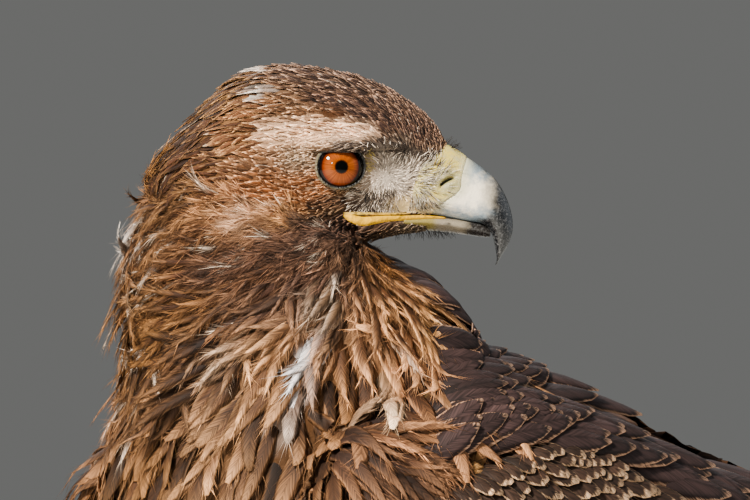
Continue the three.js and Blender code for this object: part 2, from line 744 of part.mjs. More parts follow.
function addLegs() {
  const floor = halfSpace(new THREE.Vector3(0, 0, 0), new THREE.Vector3(0, 0, -1));
  for (const [word, side] of [["left", 1], ["right", -1]]) {
    addNode("thigh_" + word, thigh(side).subtract(trunk(GAP)), LEG_PLUMAGE);
    addNode("shank_" + word, shank(side).subtract(thigh(side, GAP)).subtract(floor), LEG_PLUMAGE);
    let taken = shank(side, GAP).add(floor);
    for (const { number, turn, length, claw } of TOES) {
      const angle = THREE.MathUtils.degToRad(turn);
      const ahead = new THREE.Vector3(-Math.sin(angle) * side, -Math.cos(angle), 0);
      const root = place(side * FOOT.out, FOOT.forward, 0);
      const onto = (distance, _, up) => root.clone().addScaledVector(ahead, distance).setZ(up);
      const across = new THREE.Vector3(ahead.y, -ahead.x, 0);
      const toe = { table: toeTable(length), onto, across, steps: 7, around: 7 };
      addNode(`toe_${word}_${number}`, sweep(toe).subtract(taken), TOE_SKIN, 0.6);
      taken = taken.add(sweep({ ...toe, grow: GAP }));
      const nail = sweep({ table: clawTable(length, claw), onto, across, steps: 5, around: 6 });
      addNode(`claw_${word}_${number}`, nail, DARK_HORN, 0.3);
    }
  }
}

addBody();
addWings();
addTail();
addLegs();

// The origin is on the ground under the middle of the bird.
const extent = new THREE.Box3().setFromObject(stance);
stance.position.set(-(extent.min.x + extent.max.x) / 2, -(extent.min.y + extent.max.y) / 2, 0);

export default eagle;
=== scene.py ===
# A golden eagle at life size, standing on the floor with its wings folded and its head turned back over
# its left shoulder. The tables are in millimetres, and the frame is in metres.
import math

import bpy
import numpy as np
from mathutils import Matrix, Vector
from mathutils.bvhtree import BVHTree
from mathutils.kdtree import KDTree


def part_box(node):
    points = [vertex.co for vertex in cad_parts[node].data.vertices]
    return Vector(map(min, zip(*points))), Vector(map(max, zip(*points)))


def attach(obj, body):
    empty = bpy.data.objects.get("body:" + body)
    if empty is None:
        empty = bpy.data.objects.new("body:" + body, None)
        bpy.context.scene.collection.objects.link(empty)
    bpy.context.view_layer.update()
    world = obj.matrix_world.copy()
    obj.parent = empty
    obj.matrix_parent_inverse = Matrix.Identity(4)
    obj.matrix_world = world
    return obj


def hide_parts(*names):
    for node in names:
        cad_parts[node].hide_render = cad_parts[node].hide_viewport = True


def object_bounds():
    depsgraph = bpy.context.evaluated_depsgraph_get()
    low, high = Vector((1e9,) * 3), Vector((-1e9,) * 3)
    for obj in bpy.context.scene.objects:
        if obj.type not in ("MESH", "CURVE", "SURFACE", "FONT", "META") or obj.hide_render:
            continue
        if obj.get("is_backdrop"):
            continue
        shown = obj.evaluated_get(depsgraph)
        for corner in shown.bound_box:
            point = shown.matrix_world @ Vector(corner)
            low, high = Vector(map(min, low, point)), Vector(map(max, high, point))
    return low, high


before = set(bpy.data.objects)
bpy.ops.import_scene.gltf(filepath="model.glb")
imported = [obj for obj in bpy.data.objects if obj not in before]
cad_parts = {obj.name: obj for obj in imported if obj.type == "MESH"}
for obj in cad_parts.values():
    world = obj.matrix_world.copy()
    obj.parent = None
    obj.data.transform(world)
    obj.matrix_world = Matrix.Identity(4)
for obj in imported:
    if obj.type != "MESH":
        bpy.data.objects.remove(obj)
cad_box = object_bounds()
MM = 0.001

# The camera looks level at the head from the bird's front left, through a long lens, so that the head
# shows in profile. The right eye is the only eye that it sees, and it sets the middle of the picture.
VIEW_TURN = math.radians(55)
VIEW_DISTANCE = 5.0
VIEW_WIDTH = 0.3
SENSOR_WIDTH = 36
EYE_TO_MIDDLE = (0.0185, -0.0332)


def middle_of(node):
    lowest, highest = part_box(node)
    return (lowest + highest) / 2


seen_eye = middle_of("eye_right")
view_ahead = Vector((-math.sin(VIEW_TURN), math.cos(VIEW_TURN), 0))
view_right = Vector((math.cos(VIEW_TURN), math.sin(VIEW_TURN), 0))
aim = seen_eye + view_right * EYE_TO_MIDDLE[0] + Vector((0, 0, EYE_TO_MIDDLE[1]))
camera_data = bpy.data.cameras.new("camera")
camera_data.sensor_width = SENSOR_WIDTH
camera_data.lens = SENSOR_WIDTH * VIEW_DISTANCE / VIEW_WIDTH
camera_data.clip_end = 50
camera = bpy.data.objects.new("camera", camera_data)
camera.location = aim - view_ahead * VIEW_DISTANCE
camera.rotation_euler = view_ahead.to_track_quat("-Z", "Y").to_euler()
bpy.context.scene.collection.objects.link(camera)
bpy.context.scene.camera = camera

# Three soft boxes and a pale room: the main one is high on the camera's left, as the sun in the photo
# is, a wide one fills the shadows from the right, and one behind draws the bird's outline. A small lamp
# by the camera puts the glint in the eye.
LAMPS = [
    ("key", -1.25, 1.5, -1.9, 0.4, 330),
    ("fill", 2.9, 0.9, 0.7, 3.0, 22),
    ("rim", -0.5, 1.7, 1.9, 1.2, 60),
    ("glint", -0.55, 0.62, -2.3, 0.1, 9),
]
LAMP_TINTS = {"key": (1, 0.93, 0.82), "fill": (0.86, 0.93, 1), "rim": (0.9, 0.95, 1), "glint": (1, 1, 1)}
for name, right, up, ahead, size, watts in LAMPS:
    lamp = bpy.data.lights.new(name, "AREA")
    lamp.size = size
    lamp.energy = watts
    lamp.color = LAMP_TINTS[name]
    holder = bpy.data.objects.new(name, lamp)
    holder.location = seen_eye + view_right * right + view_ahead * ahead + Vector((0, 0, up))
    holder.rotation_euler = (seen_eye - holder.location).to_track_quat("-Z", "Y").to_euler()
    bpy.context.scene.collection.objects.link(holder)


def hexed(text):
    """Linear colour of an sRGB hex value."""
    parts = np.array([int(text[i : i + 2], 16) / 255 for i in (1, 3, 5)])
    return np.where(parts <= 0.04045, parts / 12.92, ((parts + 0.055) / 1.055) ** 2.4)


def add(tree, kind, feeds=(), stops=(), **settings):
    """Adds a node with its settings, and feeds its sockets, in order or by name, from other sockets, hex
    colours or plain values. Stops are the places and colours along a ramp."""
    made = tree.nodes.new("ShaderNode" + kind)
    for name, value in settings.items():
        setattr(made, name, value)
    for socket, source in feeds.items() if isinstance(feeds, dict) else enumerate(feeds):
        if isinstance(source, bpy.types.NodeSocket):
            tree.links.new(source, made.inputs[socket])
        elif isinstance(source, str):
            made.inputs[socket].default_value = (*hexed(source), 1)
        else:
            made.inputs[socket].default_value = source
    ramp = made.color_ramp.elements if stops else ()
    while len(ramp) < len(stops):
        ramp.new(0.5)
    for element, (at, colour) in zip(ramp, stops):
        element.position = at
        element.color = (*hexed(colour), 1)
    return made


def painted(name, base, roughness, **sockets):
    """A surface with one shader; base is a hex value or a function that builds the colour and the bump."""
    material = bpy.data.materials.new(name)
    material.use_nodes = True
    tree = material.node_tree
    shader = tree.nodes["Principled BSDF"]
    shader.inputs["Roughness"].default_value = roughness
    for socket, value in sockets.items():
        shader.inputs[socket.replace("_", " ")].default_value = value
    if callable(base):
        base(tree, shader)
    else:
        shader.inputs["Base Color"].default_value = (*hexed(base), 1)
    return material


room = bpy.data.worlds.new("room")
room.use_nodes = True
room.node_tree.nodes["Background"].inputs["Color"].default_value = (*hexed("#dfe0dd"), 1)
room.node_tree.nodes["Background"].inputs["Strength"].default_value = 0.2
bpy.context.scene.world = room


# The floor is one wide sheet of matt pale paint. It only carries the bird and catches its shadow, so it
# belongs to the stage and not to the model.
def piece(name, points, *groups):
    """A mesh object from points and arrays of faces, each array with one number of corners."""
    mesh = bpy.data.meshes.new(name)
    mesh.vertices.add(len(points))
    mesh.vertices.foreach_set("co", np.asarray(points, np.float32).ravel())
    groups = [np.asarray(group, np.int32) for group in groups if len(group)]
    sizes = np.concatenate([np.full(len(group), group.shape[1]) for group in groups])
    corners = np.concatenate([group.ravel() for group in groups])
    mesh.loops.add(len(corners))
    mesh.loops.foreach_set("vertex_index", corners)
    mesh.polygons.add(len(sizes))
    mesh.polygons.foreach_set("loop_start", np.concatenate([[0], np.cumsum(sizes)[:-1]]))
    mesh.update(calc_edges=True)
    mesh.shade_smooth()
    made = bpy.data.objects.new(name, mesh)
    bpy.context.scene.collection.objects.link(made)
    return made


FLOOR_HALF = 3.0
corners = [(-FLOOR_HALF, -FLOOR_HALF, 0), (FLOOR_HALF, -FLOOR_HALF, 0)]
corners += [(FLOOR_HALF, FLOOR_HALF, 0), (-FLOOR_HALF, FLOOR_HALF, 0)]
floor = piece("floor", corners, [(0, 1, 2, 3)])
floor.data.materials.append(painted("matt_floor_paint", "#d9d8d3", 0.8))
floor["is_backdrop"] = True

# Two frames of measure: the body's, with left, forward and up from the ground under the neck's root,
# and the head's, with ahead along the bill, left and up from a point between the eyes.
HEAD_TURN = math.radians(145)
NECK_FORWARD = 60
NECK_TO_EYES = 40
EYE_HEIGHT = 540
EYE = {"ahead": -4.5, "up": 0.8}
AHEAD = np.array([math.sin(HEAD_TURN), -math.cos(HEAD_TURN), 0])
LEFT = np.array([-AHEAD[1], AHEAD[0], 0])
UP = np.array([0, 0, 1.0])
head_start = np.array([0, -NECK_FORWARD, EYE_HEIGHT]) + AHEAD * NECK_TO_EYES
between_eyes = np.array((middle_of("eye_left") + middle_of("eye_right")) / 2)
centring = between_eyes - (head_start + AHEAD * EYE["ahead"] + UP * EYE["up"]) * MM


def on_body(left, forward, up):
    left, forward, up = np.broadcast_arrays(left, forward, up)
    return np.stack([left, -forward, up], -1) * MM + centring


def on_head(ahead, left, up):
    parts = [np.asarray(part, float)[..., None] for part in np.broadcast_arrays(ahead, left, up)]
    return (head_start + parts[0] * AHEAD + parts[1] * LEFT + parts[2] * UP) * MM + centring


def head_view(points):
    """Ahead, left and up on the head of points in the frame."""
    away = (points - centring) / MM - head_start
    return np.stack([away @ AHEAD, away @ LEFT, away @ UP], -1)


def body_view(points):
    """Left, forward and up on the body of points in the frame."""
    away = (points - centring) / MM
    return np.stack([away[..., 0], -away[..., 1], away[..., 2]], -1)


# The skin is one hide under all the feathers: trunk, neck, skull with its bony brows, thighs, shanks,
# the tail's root and the two folded wings. It lies as deep under the feathered outline as they are thick.
TRUNK = [
    [-262, 352, -246, 326, 16],
    [-236, 370, -214, 296, 40],
    [-190, 392, -160, 274, 62],
    [-135, 415, -95, 260, 76],
    [-80, 438, -25, 256, 83],
    [-45, 456, 42, 270, 86],
    [-22, 478, 84, 302, 85],
    [-6, 494, 107, 348, 79],
    [8, 506, 111, 398, 70],
    [24, 518, 98, 444, 58],
    [44, 524, 88, 478, 40],
]
NECK = [
    [-126, -74, 22, 42],
    [-114, -82, 44, 52],
    [-100, -87, 58, 57],
    [-86, -88, 62, 57],
    [-68, -89, 56, 52],
    [-50, -89, 41, 48],
    [-34, -88, 22, 44],
    [-18, -84, 10, 40],
    [-2, -75, 6, 38],
    [12, -64, -4, 34],
    [26, -52, -14, 26],
    [34, -42, -24, 12],
]
SKULL = [
    [43, 8, 37, -22, 9],
    [41, 14, 33, -25, 14],
    [35, 23, 26, -25, 17],
    [24, 31, 20, -26, 21],
    [10, 38, 8, -31, 24.5],
    [-6, 41.5, -6, -37, 28],
    [-22, 43, -22, -40, 33.5],
    [-38, 40, -38, -40, 37],
    [-54, 26, -54, -36, 34],
    [-68, 10, -66, -26, 25],
    [-76, -2, -75, -12, 10],
]
BROW = [
    [-18, 24, 8, 2, 2],
    [-10, 27.5, 10.2, 4, 3.8],
    [2, 28.2, 10.2, 4.8, 4.2],
    [12, 25.6, 10, 4.6, 3.9],
    [20, 21, 9.2, 3.4, 2.9],
    [26, 16, 9, 1.6, 1.4],
]
CHIN = [
    [8, 0, -24, 15, 5],
    [20, 0, -22.4, 12, 4],
    [30, 0, -21.8, 9.5, 3.2],
    [36, 0, -21.8, 8.2, 2.2],
    [38, 0, -21.8, 6, 1],
]
TAIL = [
    [-250, 345, -244, 322, 20],
    [-290, 331, -284, 312, 32],
    [-340, 306, -335, 293, 38],
    [-400, 275, -396, 265, 40],
    [-455, 247, -452, 240, 36],
]
FOOT = {"out": 60, "forward": -58}
SHOULDER = [
    [76, 64, 398, 6, 12],
    [62, 66, 402, 17, 24],
    [46, 69, 407, 21, 28],
    [26, 70, 408, 21, 27],
    [4, 70, 404, 14, 18],
]
THIGH_OUT = 51
THIGH = [
    [16, 320, -108, 300, 30],
    [24, 285, -118, 258, 40],
    [20, 244, -124, 212, 42],
    [2, 202, -130, 168, 39],
    [-26, 162, -136, 128, 33],
    [-52, 126, -138, 96, 26],
    [-70, 102, -134, 78, 18],
    [-82, 90, -122, 74, 9],
]
SHANK = [
    [-104, 0, 112, 15, 17],
    [-98, 0, 92, 16, 18],
    [-84, 0, 62, 14, 16],
    [-70, 0, 36, 14, 15],
    [-62, 0, 20, 15, 15.5],
    [-59, 0, 10, 15, 15],
]
WING = [
    [82, 88, 392, 96, 378, 92, 352, 6],
    [78, 87, 405, 101, 392, 97, 336, 14],
    [66, 82, 425, 107, 413, 101, 322, 20],
    [36, 66, 448, 113, 434, 107, 306, 22],
    [0, 50, 466, 118, 450, 111, 292, 22],
    [-50, 34, 458, 121, 437, 113, 281, 20],
    [-100, 22, 443, 116, 418, 110, 275, 18],
    [-150, 15, 425, 107, 398, 103, 270, 16],
    [-200, 11, 403, 97, 378, 94, 265, 14],
    [-250, 9, 378, 86, 355, 84, 260, 12],
    [-300, 9, 350, 77, 328, 76, 256, 9],
    [-350, 10, 319, 69, 303, 69, 249, 7],
    [-400, 13, 289, 61, 277, 62, 243, 6],
    [-450, 18, 263, 53, 256, 56, 237, 5],
    [-505, 27, 240, 42, 236, 45, 227, 3],
]
# How deep the skin lies under each outline, and the grain that its parts are melted together at.
COAT_DEPTH = {"trunk": 9, "neck": 7.5, "skull": 4.5, "brow": 0.9, "thigh": 9, "shank": 3, "tail": 3}
BODY_GRAIN = 3.0
HEAD_GRAIN = 1.35


def rows_at(table, shares):
    """Smooth rows of a table at shares of the way down it."""
    table = np.asarray(table, float)
    last = len(table) - 1
    reached = np.clip(np.asarray(shares, float), 0, 1) * last
    i = np.minimum(reached.astype(int), last - 1)
    f = (reached - i)[:, None]
    before, start, end, after = (table[np.clip(i + k, 0, last)] for k in (-1, 0, 1, 2))
    leave, arrive, rise = (end - before) / 2, (after - start) / 2, end - start
    return start + f * (leave + f * (3 * rise - 2 * leave - arrive + f * (leave + arrive - 2 * rise)))


def loft(table, onto, steps, around, grow=0.0, pear=0.0, square=1.0, crest=0.0):
    """Rings of points over a form whose rows are an upper line, a lower line and a half width. Crest
    raises the upper line outwards."""
    rows = rows_at(table, np.linspace(0, 1, steps + 1))
    along = np.gradient(rows[:, 0:2], axis=0)
    along /= np.linalg.norm(along, axis=1, keepdims=True)
    rows[:, 0:2] += crest * np.column_stack([along[:, 1], -along[:, 0]])
    angles = np.linspace(0, 2 * math.pi, around, endpoint=False)
    up, side = (np.sign(x) * np.abs(x) ** square for x in (np.cos(angles), np.sin(angles)))
    middle = (rows[:, 0:2] + rows[:, 2:4]) / 2
    reach = rows[:, 0:2] - middle
    reach *= 1 + grow / np.linalg.norm(reach, axis=1, keepdims=True)
    a, b = (middle[:, k, None] + reach[:, k, None] * up for k in (0, 1))
    return onto(a, b, (rows[:, 4, None] + grow) * side * (1 - pear * up))


def sweep(table, onto, across, steps, around, grow=0.0):
    """Rings of points round a path whose rows are a place and the radii across and over the path."""
    shares = np.linspace(0, 1, steps + 1)
    rows = rows_at(table, shares)
    centres, later, sooner = (onto(*rows_at(table, shares + d)[:, :3].T) for d in (0, 0.01, -0.01))
    ahead = later - sooner
    ahead /= np.linalg.norm(ahead, axis=1, keepdims=True)
    over = np.cross(ahead, across)
    over /= np.linalg.norm(over, axis=1, keepdims=True)
    side = np.cross(over, ahead)
    angles = np.linspace(0, 2 * math.pi, around, endpoint=False)[None, :, None]
    wide, high = ((rows[:, k, None, None] + grow) * MM for k in (3, 4))
    return centres[:, None] + side[:, None] * np.sin(angles) * wide + over[:, None] * np.cos(angles) * high


def ring_faces(steps, around, first=0):
    """Four-cornered faces between rings and fans that close both ends."""
    i, j = np.meshgrid(np.arange(steps), np.arange(around), indexing="ij")
    a = first + i * around + j
    b = first + i * around + (j + 1) % around
    quads = np.stack([a, b, b + around, a + around], -1).reshape(-1, 4)
    j = np.arange(1, around - 1)
    base = first + steps * around
    start = np.stack([np.full_like(j, first), j + 1 + first, j + first], -1)
    end = np.stack([np.full_like(j, base), base + j, base + j + 1], -1)
    return quads, np.concatenate([start, end])


def closed(name, *forms):
    """One object of several closed ringed forms, all facing out."""
    points, quads, fans = [], [], []
    first = 0
    for rings in forms:
        steps, around = rings.shape[0] - 1, rings.shape[1]
        four, three = ring_faces(steps, around, first)
        out = np.cross(rings[1] - rings[0], np.roll(rings[0], -1, 0) - rings[0])
        if np.sum(out * (rings[0] - rings[0].mean(0))) > 0:
            four, three = four[:, ::-1], three[:, ::-1]
        points.append(rings.reshape(-1, 3))
        quads.append(four)
        fans.append(three)
        first += rings.shape[0] * around
    return piece(name, np.concatenate(points), np.concatenate(quads), np.concatenate(fans))


def settled(rough, grain, rounds):
    """Forms melted into one hide, with its seams smoothed away."""
    remesh = rough.modifiers.new("melt", "REMESH")
    remesh.mode = "VOXEL"
    remesh.voxel_size = grain * MM
    smooth = rough.modifiers.new("smooth", "SMOOTH")
    smooth.factor = 0.5
    smooth.iterations = rounds
    seen = rough.evaluated_get(bpy.context.evaluated_depsgraph_get())
    mesh = bpy.data.meshes.new_from_object(seen)
    old = rough.data
    rough.modifiers.clear()
    rough.data = mesh
    bpy.data.meshes.remove(old)
    return rough


def along_body(forward, up, left):
    return on_body(left, forward, up)


def along_head(ahead, up, left):
    return on_head(ahead, left, up)


def neck_form(first, last, grow):
    table = [[nape, up, throat, up, width] for up, nape, throat, width in NECK[first:last]]
    return loft(table, along_head, 24, 48, grow)


def wing_face(forward, rise, side, sink=0.0):
    """Places on a wing's outer face, from the distance forward and the rise from its lower edge."""
    forward, rise = np.broadcast_arrays(np.asarray(forward, float), np.asarray(rise, float))
    reached = [row[0] for row in WING]
    shares = np.interp(-forward.ravel(), [-place for place in reached], np.linspace(0, 1, len(WING)))
    rows = rows_at(WING, shares).T.reshape(8, *forward.shape)
    left, up = (
        (1 - rise) ** 2 * rows[low] + 2 * rise * (1 - rise) * rows[bow] + rise**2 * rows[top]
        for low, bow, top in ((5, 3, 1), (6, 4, 2))
    )
    return on_body(side * (left - sink), rows[0], up)


def wing_core(side):
    forward, rise = np.meshgrid(np.linspace(82, -505, 60), np.linspace(0, 1, 16), indexing="ij")
    shares = np.interp(-forward[:, 0], [-row[0] for row in WING], np.linspace(0, 1, len(WING)))
    thick = rows_at(WING, shares)[:, 7, None]
    outer = wing_face(forward, rise, side, 1.0)
    inner = wing_face(forward, rise, side, np.maximum(thick, 3) * (0.6 + 0.4 * np.sin(math.pi * rise)))
    return np.concatenate([outer, inner[:, ::-1]], 1)


def beside_body(side):
    return lambda left, forward, up: on_body(left * side, forward, up)


def beside_head(side):
    return lambda ahead, left, up: on_head(ahead, left * side, up)


def shoulder_onto(side):
    return lambda forward, left, up: on_body(left * side, forward, up)


def leg_onto(side):
    return lambda forward, up, left: on_body(side * THIGH_OUT + left, forward, up)


def shank_onto(side):
    return lambda forward, left, up: on_body(side * FOOT["out"] + left, forward, up)


hide_forms = [loft(TRUNK, along_body, 40, 56, -COAT_DEPTH["trunk"], square=0.95)]
hide_forms.append(neck_form(0, 11, -COAT_DEPTH["neck"]))
hide_forms.append(loft(TAIL, along_body, 20, 28, -COAT_DEPTH["tail"], square=0.8))
for side in (1, -1):
    hide_forms.append(sweep(SHOULDER, shoulder_onto(side), (1, 0, 0), 16, 24))
    hide_forms.append(loft(THIGH, leg_onto(side), 24, 32, -COAT_DEPTH["thigh"]))
    hide_forms.append(sweep(SHANK, shank_onto(side), (1, 0, 0), 16, 24, -COAT_DEPTH["shank"]))
hide = settled(closed("hide", *hide_forms), BODY_GRAIN, 8)

scalp_forms = [loft(SKULL, along_head, 32, 44, -COAT_DEPTH["skull"], pear=0.08, crest=2.6)]
scalp_forms.append(neck_form(4, 12, -COAT_DEPTH["neck"] - 0.5))
scalp_forms.append(sweep(CHIN, on_head, LEFT, 16, 20))
for side in (1, -1):
    scalp_forms.append(sweep(BROW, beside_head(side), LEFT, 16, 12, -COAT_DEPTH["brow"]))
scalp = settled(closed("scalp", *scalp_forms), HEAD_GRAIN, 4)
wing_hides = closed("wing_hides", wing_core(1), wing_core(-1))


def bent_to(source):
    """A finder of the nearest place on an object's surface."""
    return BVHTree.FromObject(source, bpy.context.evaluated_depsgraph_get())


def read(items, key, kind=np.float32):
    """Three values for each point or face of a mesh."""
    values = np.empty(len(items) * 3, kind)
    items.foreach_get(key, values)
    return values.reshape(-1, 3)


def joined(name, *sources):
    """One object from several, without their materials, and each one's number of points."""
    points, faces = [], []
    first = 0
    for source in sources:
        source.data.calc_loop_triangles()
        points.append(read(source.data.vertices, "co"))
        faces.append(read(source.data.loop_triangles, "vertices", np.int32) + first)
        first += len(points[-1])
        bpy.data.objects.remove(source)
    return piece(name, np.concatenate(points), np.concatenate(faces)), [len(some) for some in points]


skin, skin_counts = joined("skin", hide, scalp, wing_hides)
skin_finder = bent_to(skin)
skin_points = read(skin.data.vertices, "co").astype(float)
skin_outs = read(skin.data.vertices, "normal").astype(float)
skin_faces = read(skin.data.polygons, "vertices", np.int32)
scalp_end = skin_counts[0] + skin_counts[1]

# What a maker notes down before laying feathers: at each place the way the feathers lie, their length
# and width, and the colours of their middle and their fringe. Both sides of the bird follow one note.
# Notes on the head go ahead, left and up, and those on the body go left, forward and up.
HEAD_NOTES = [
    [41, 6, 12, -0.6, 0.1, 0.8, 4, 1.5, "#36271f", "#ac8b67"],
    [34, 8, 23, -0.8, 0.15, 0.6, 6, 1.9, "#30211b", "#a37956"],
    [16, 10, 34, -0.93, 0.15, 0.35, 9, 2.3, "#33221b", "#aa7d5b"],
    [-8, 10, 42, -1, 0.1, 0.08, 11, 2.7, "#37241d", "#af8561"],
    [-31, 10, 42, -0.97, 0, -0.2, 13, 3.2, "#3d2719", "#b48962"],
    [-46, 10, 32, -0.8, 0, -0.6, 16, 3.8, "#3f2717", "#b98955"],
    [-62, 10, 16, -0.72, 0, -0.7, 20, 4.6, "#2a180d", "#7c5838"],
    [34, 14, 12, -0.35, 0.1, 0.93, 5, 1.6, "#3d2e24", "#aa9176"],
    [24, 18, 18, -0.75, 0.1, 0.65, 7, 1.9, "#32231b", "#9f795c"],
    [8, 24, 22, -0.95, 0.1, 0.3, 8, 2.1, "#36241e", "#af8562"],
    [-8, 28, 18, -1, 0.1, 0.08, 9, 2.3, "#7c5638", "#e7b791"],
    [-24, 32, 20, -1, 0, -0.05, 11, 2.6, "#5e3c24", "#cd9e77"],
    [-40, 34, 16, -0.95, 0, -0.25, 13, 3.2, "#5d361b", "#c99361"],
    [2, 27, 9, -1, 0.05, 0.02, 4.5, 1.3, "#4f3f30", "#c5a788"],
    [-12, 27, 8, -1, 0.1, -0.05, 5, 1.5, "#674d38", "#d0af90"],
    [-16, 28, 0, -0.95, 0.15, 0.2, 6, 1.6, "#6e5742", "#d8ba9b"],
    [-30, 34, -1, -0.93, 0, 0.3, 9, 2.4, "#67442a", "#c79774"],
    [-2, 26, -11, -0.95, 0.1, -0.1, 5, 1.4, "#523d28", "#a98965"],
    [-16, 30, -10, -0.9, 0, 0.35, 7, 1.9, "#644328", "#c49474"],
    [-34, 35, -12, -0.97, 0, 0.15, 10, 2.6, "#603c20", "#bf8d66"],
    [-46, 32, -14, -0.98, 0, -0.1, 14, 3.6, "#552f14", "#b07d52"],
    [-60, 24, -8, -0.85, 0, -0.5, 18, 4.5, "#351c0c", "#7a5634"],
    [-16, 30, -18, -1, 0, 0.05, 8, 2.1, "#4e2d15", "#a37546"],
    [-32, 34, -24, -1, 0, -0.1, 11, 2.8, "#452c1a", "#966c4c"],
    [16, 16, -24, -0.9, 0.1, -0.3, 6, 1.7, "#2b1e15", "#755a43"],
    [32, 6, -23, -0.9, 0, -0.3, 3.5, 1.2, "#2e2319", "#85725c"],
    [0, 20, -25, -0.85, 0.1, -0.45, 9, 2.3, "#21160f", "#664b36"],
    [-16, 28, -30, -0.9, 0, -0.4, 12, 3, "#20140f", "#624332"],
    [-36, 36, -37, -0.9, 0, -0.4, 16, 4.2, "#2a180c", "#6c4830"],
    [-56, 34, -28, -0.95, 0, -0.3, 18, 4.8, "#311a0c", "#704c30"],
    [-72, 22, -24, -0.85, 0, -0.5, 22, 5.4, "#341b0c", "#7e5836"],
    [-80, 20, -37, -0.93, 0, -0.35, 24, 6.2, "#341b0c", "#7e5838"],
    [-84, 20, -52, -0.95, 0, -0.3, 26, 7, "#361d0c", "#88603a"],
    [-60, 44, -52, -0.93, 0, -0.35, 25, 6.6, "#2c1708", "#7d542d"],
    [-36, 48, -52, -0.85, 0, -0.5, 26, 7.5, "#291810", "#775742"],
    [-12, 36, -48, -0.6, 0.1, -0.8, 26, 8, "#281810", "#6e5040"],
    [2, 18, -38, -0.25, 0.1, -0.95, 18, 6, "#1d140f", "#5c4334"],
    [14, 14, -42, 0.15, 0.1, -1, 22, 7, "#371f0c", "#966332"],
    [24, 20, -52, 0.35, 0.1, -0.93, 27, 8, "#442711", "#c38b5a"],
    [40, 24, -56, 0.6, 0.1, -0.8, 36, 9, "#472910", "#d59c61"],
    [-80, 30, -72, -0.6, 0, -0.8, 30, 8, "#2d1705", "#84592c"],
    [-56, 50, -76, -0.8, 0, -0.6, 32, 10, "#2b1a10", "#8e6b50"],
    [-28, 55, -76, -0.5, 0, -0.85, 34, 12, "#54371f", "#cc986c"],
    [-4, 50, -72, -0.15, 0, -1, 35, 12, "#4c301c", "#bc875c"],
    [20, 50, -76, 0.2, 0, -1, 35, 12, "#5c3b22", "#d4996a"],
    [44, 45, -80, 0.55, 0, -0.85, 48, 13, "#55341e", "#d39768"],
    [-84, 35, -100, -0.3, 0, -0.95, 36, 13, "#3c2616", "#996d4a"],
    [-56, 60, -108, -0.45, 0, -0.9, 38, 14, "#432a19", "#a97c55"],
    [-16, 68, -108, -0.12, 0, -1, 40, 15, "#352214", "#7e5b3e"],
    [24, 65, -104, 0.25, 0, -1, 40, 15, "#4a2c18", "#c2865a"],
]
BODY_NOTES = [
    [0, 110, 420, 0, -0.1, -1, 40, 15, "#2e1a0c", "#734f2d"],
    [0, 110, 350, 0, -0.3, -0.95, 42, 16, "#2a180a", "#6a482a"],
    [0, 75, 300, 0, -0.8, -0.6, 42, 16, "#271609", "#63442a"],
    [0, -20, 262, 0, -1, -0.05, 42, 16, "#25150b", "#5d4028"],
    [0, -150, 266, 0, -1, 0.1, 44, 16, "#2b1b0e", "#69492c"],
    [0, -235, 310, 0, -1, -0.2, 50, 17, "#342212", "#765537"],
    [70, 60, 400, 0.1, -0.4, -0.9, 40, 16, "#2a180a", "#6d4828"],
    [80, 0, 330, 0, -0.7, -0.7, 42, 16, "#25150b", "#5d4028"],
    [75, -90, 310, 0, -0.9, -0.45, 44, 17, "#23140a", "#593d26"],
    [0, 40, 515, 0, -1, -0.3, 32, 13, "#23130a", "#805326"],
    [0, 0, 500, 0, -1, -0.35, 36, 16, "#1b0f0c", "#694629"],
    [40, 0, 490, 0.15, -1, -0.4, 38, 17, "#1a0f0d", "#6c492d"],
    [0, -60, 455, 0, -1, -0.35, 42, 19, "#190f0c", "#5d3f2a"],
    [0, -150, 412, 0, -1, -0.4, 40, 18, "#1b100c", "#5d3f27"],
    [0, -220, 380, 0, -1, -0.5, 54, 19, "#221610", "#6b5136"],
    [95, -10, 250, 0, -0.5, -0.9, 46, 14, "#2a1a0b", "#69492a"],
    [51, 24, 240, 0, -0.2, -1, 46, 14, "#2c1c0d", "#6e4e2c"],
    [51, -125, 230, 0, -0.5, -0.85, 46, 14, "#2b1b0d", "#6c4a29"],
    [55, -100, 150, 0, -0.2, -1, 40, 10, "#34220f", "#7c5b30"],
    [60, -100, 95, 0, 0.15, -1, 15, 4.5, "#453015", "#91724c"],
    [60, -72, 40, 0, 0.35, -1, 11, 3.4, "#4b3517", "#967a52"],
    [75, 45, 440, 0.2, -0.6, -0.8, 42, 13, "#27170d", "#805437"],
    [66, 58, 442, 0.25, -0.3, -0.9, 42, 13, "#2c1a0d", "#8a5f39"],
    [92, 50, 420, 0.25, -0.8, -0.6, 34, 10, "#20140f", "#714f37"],
]
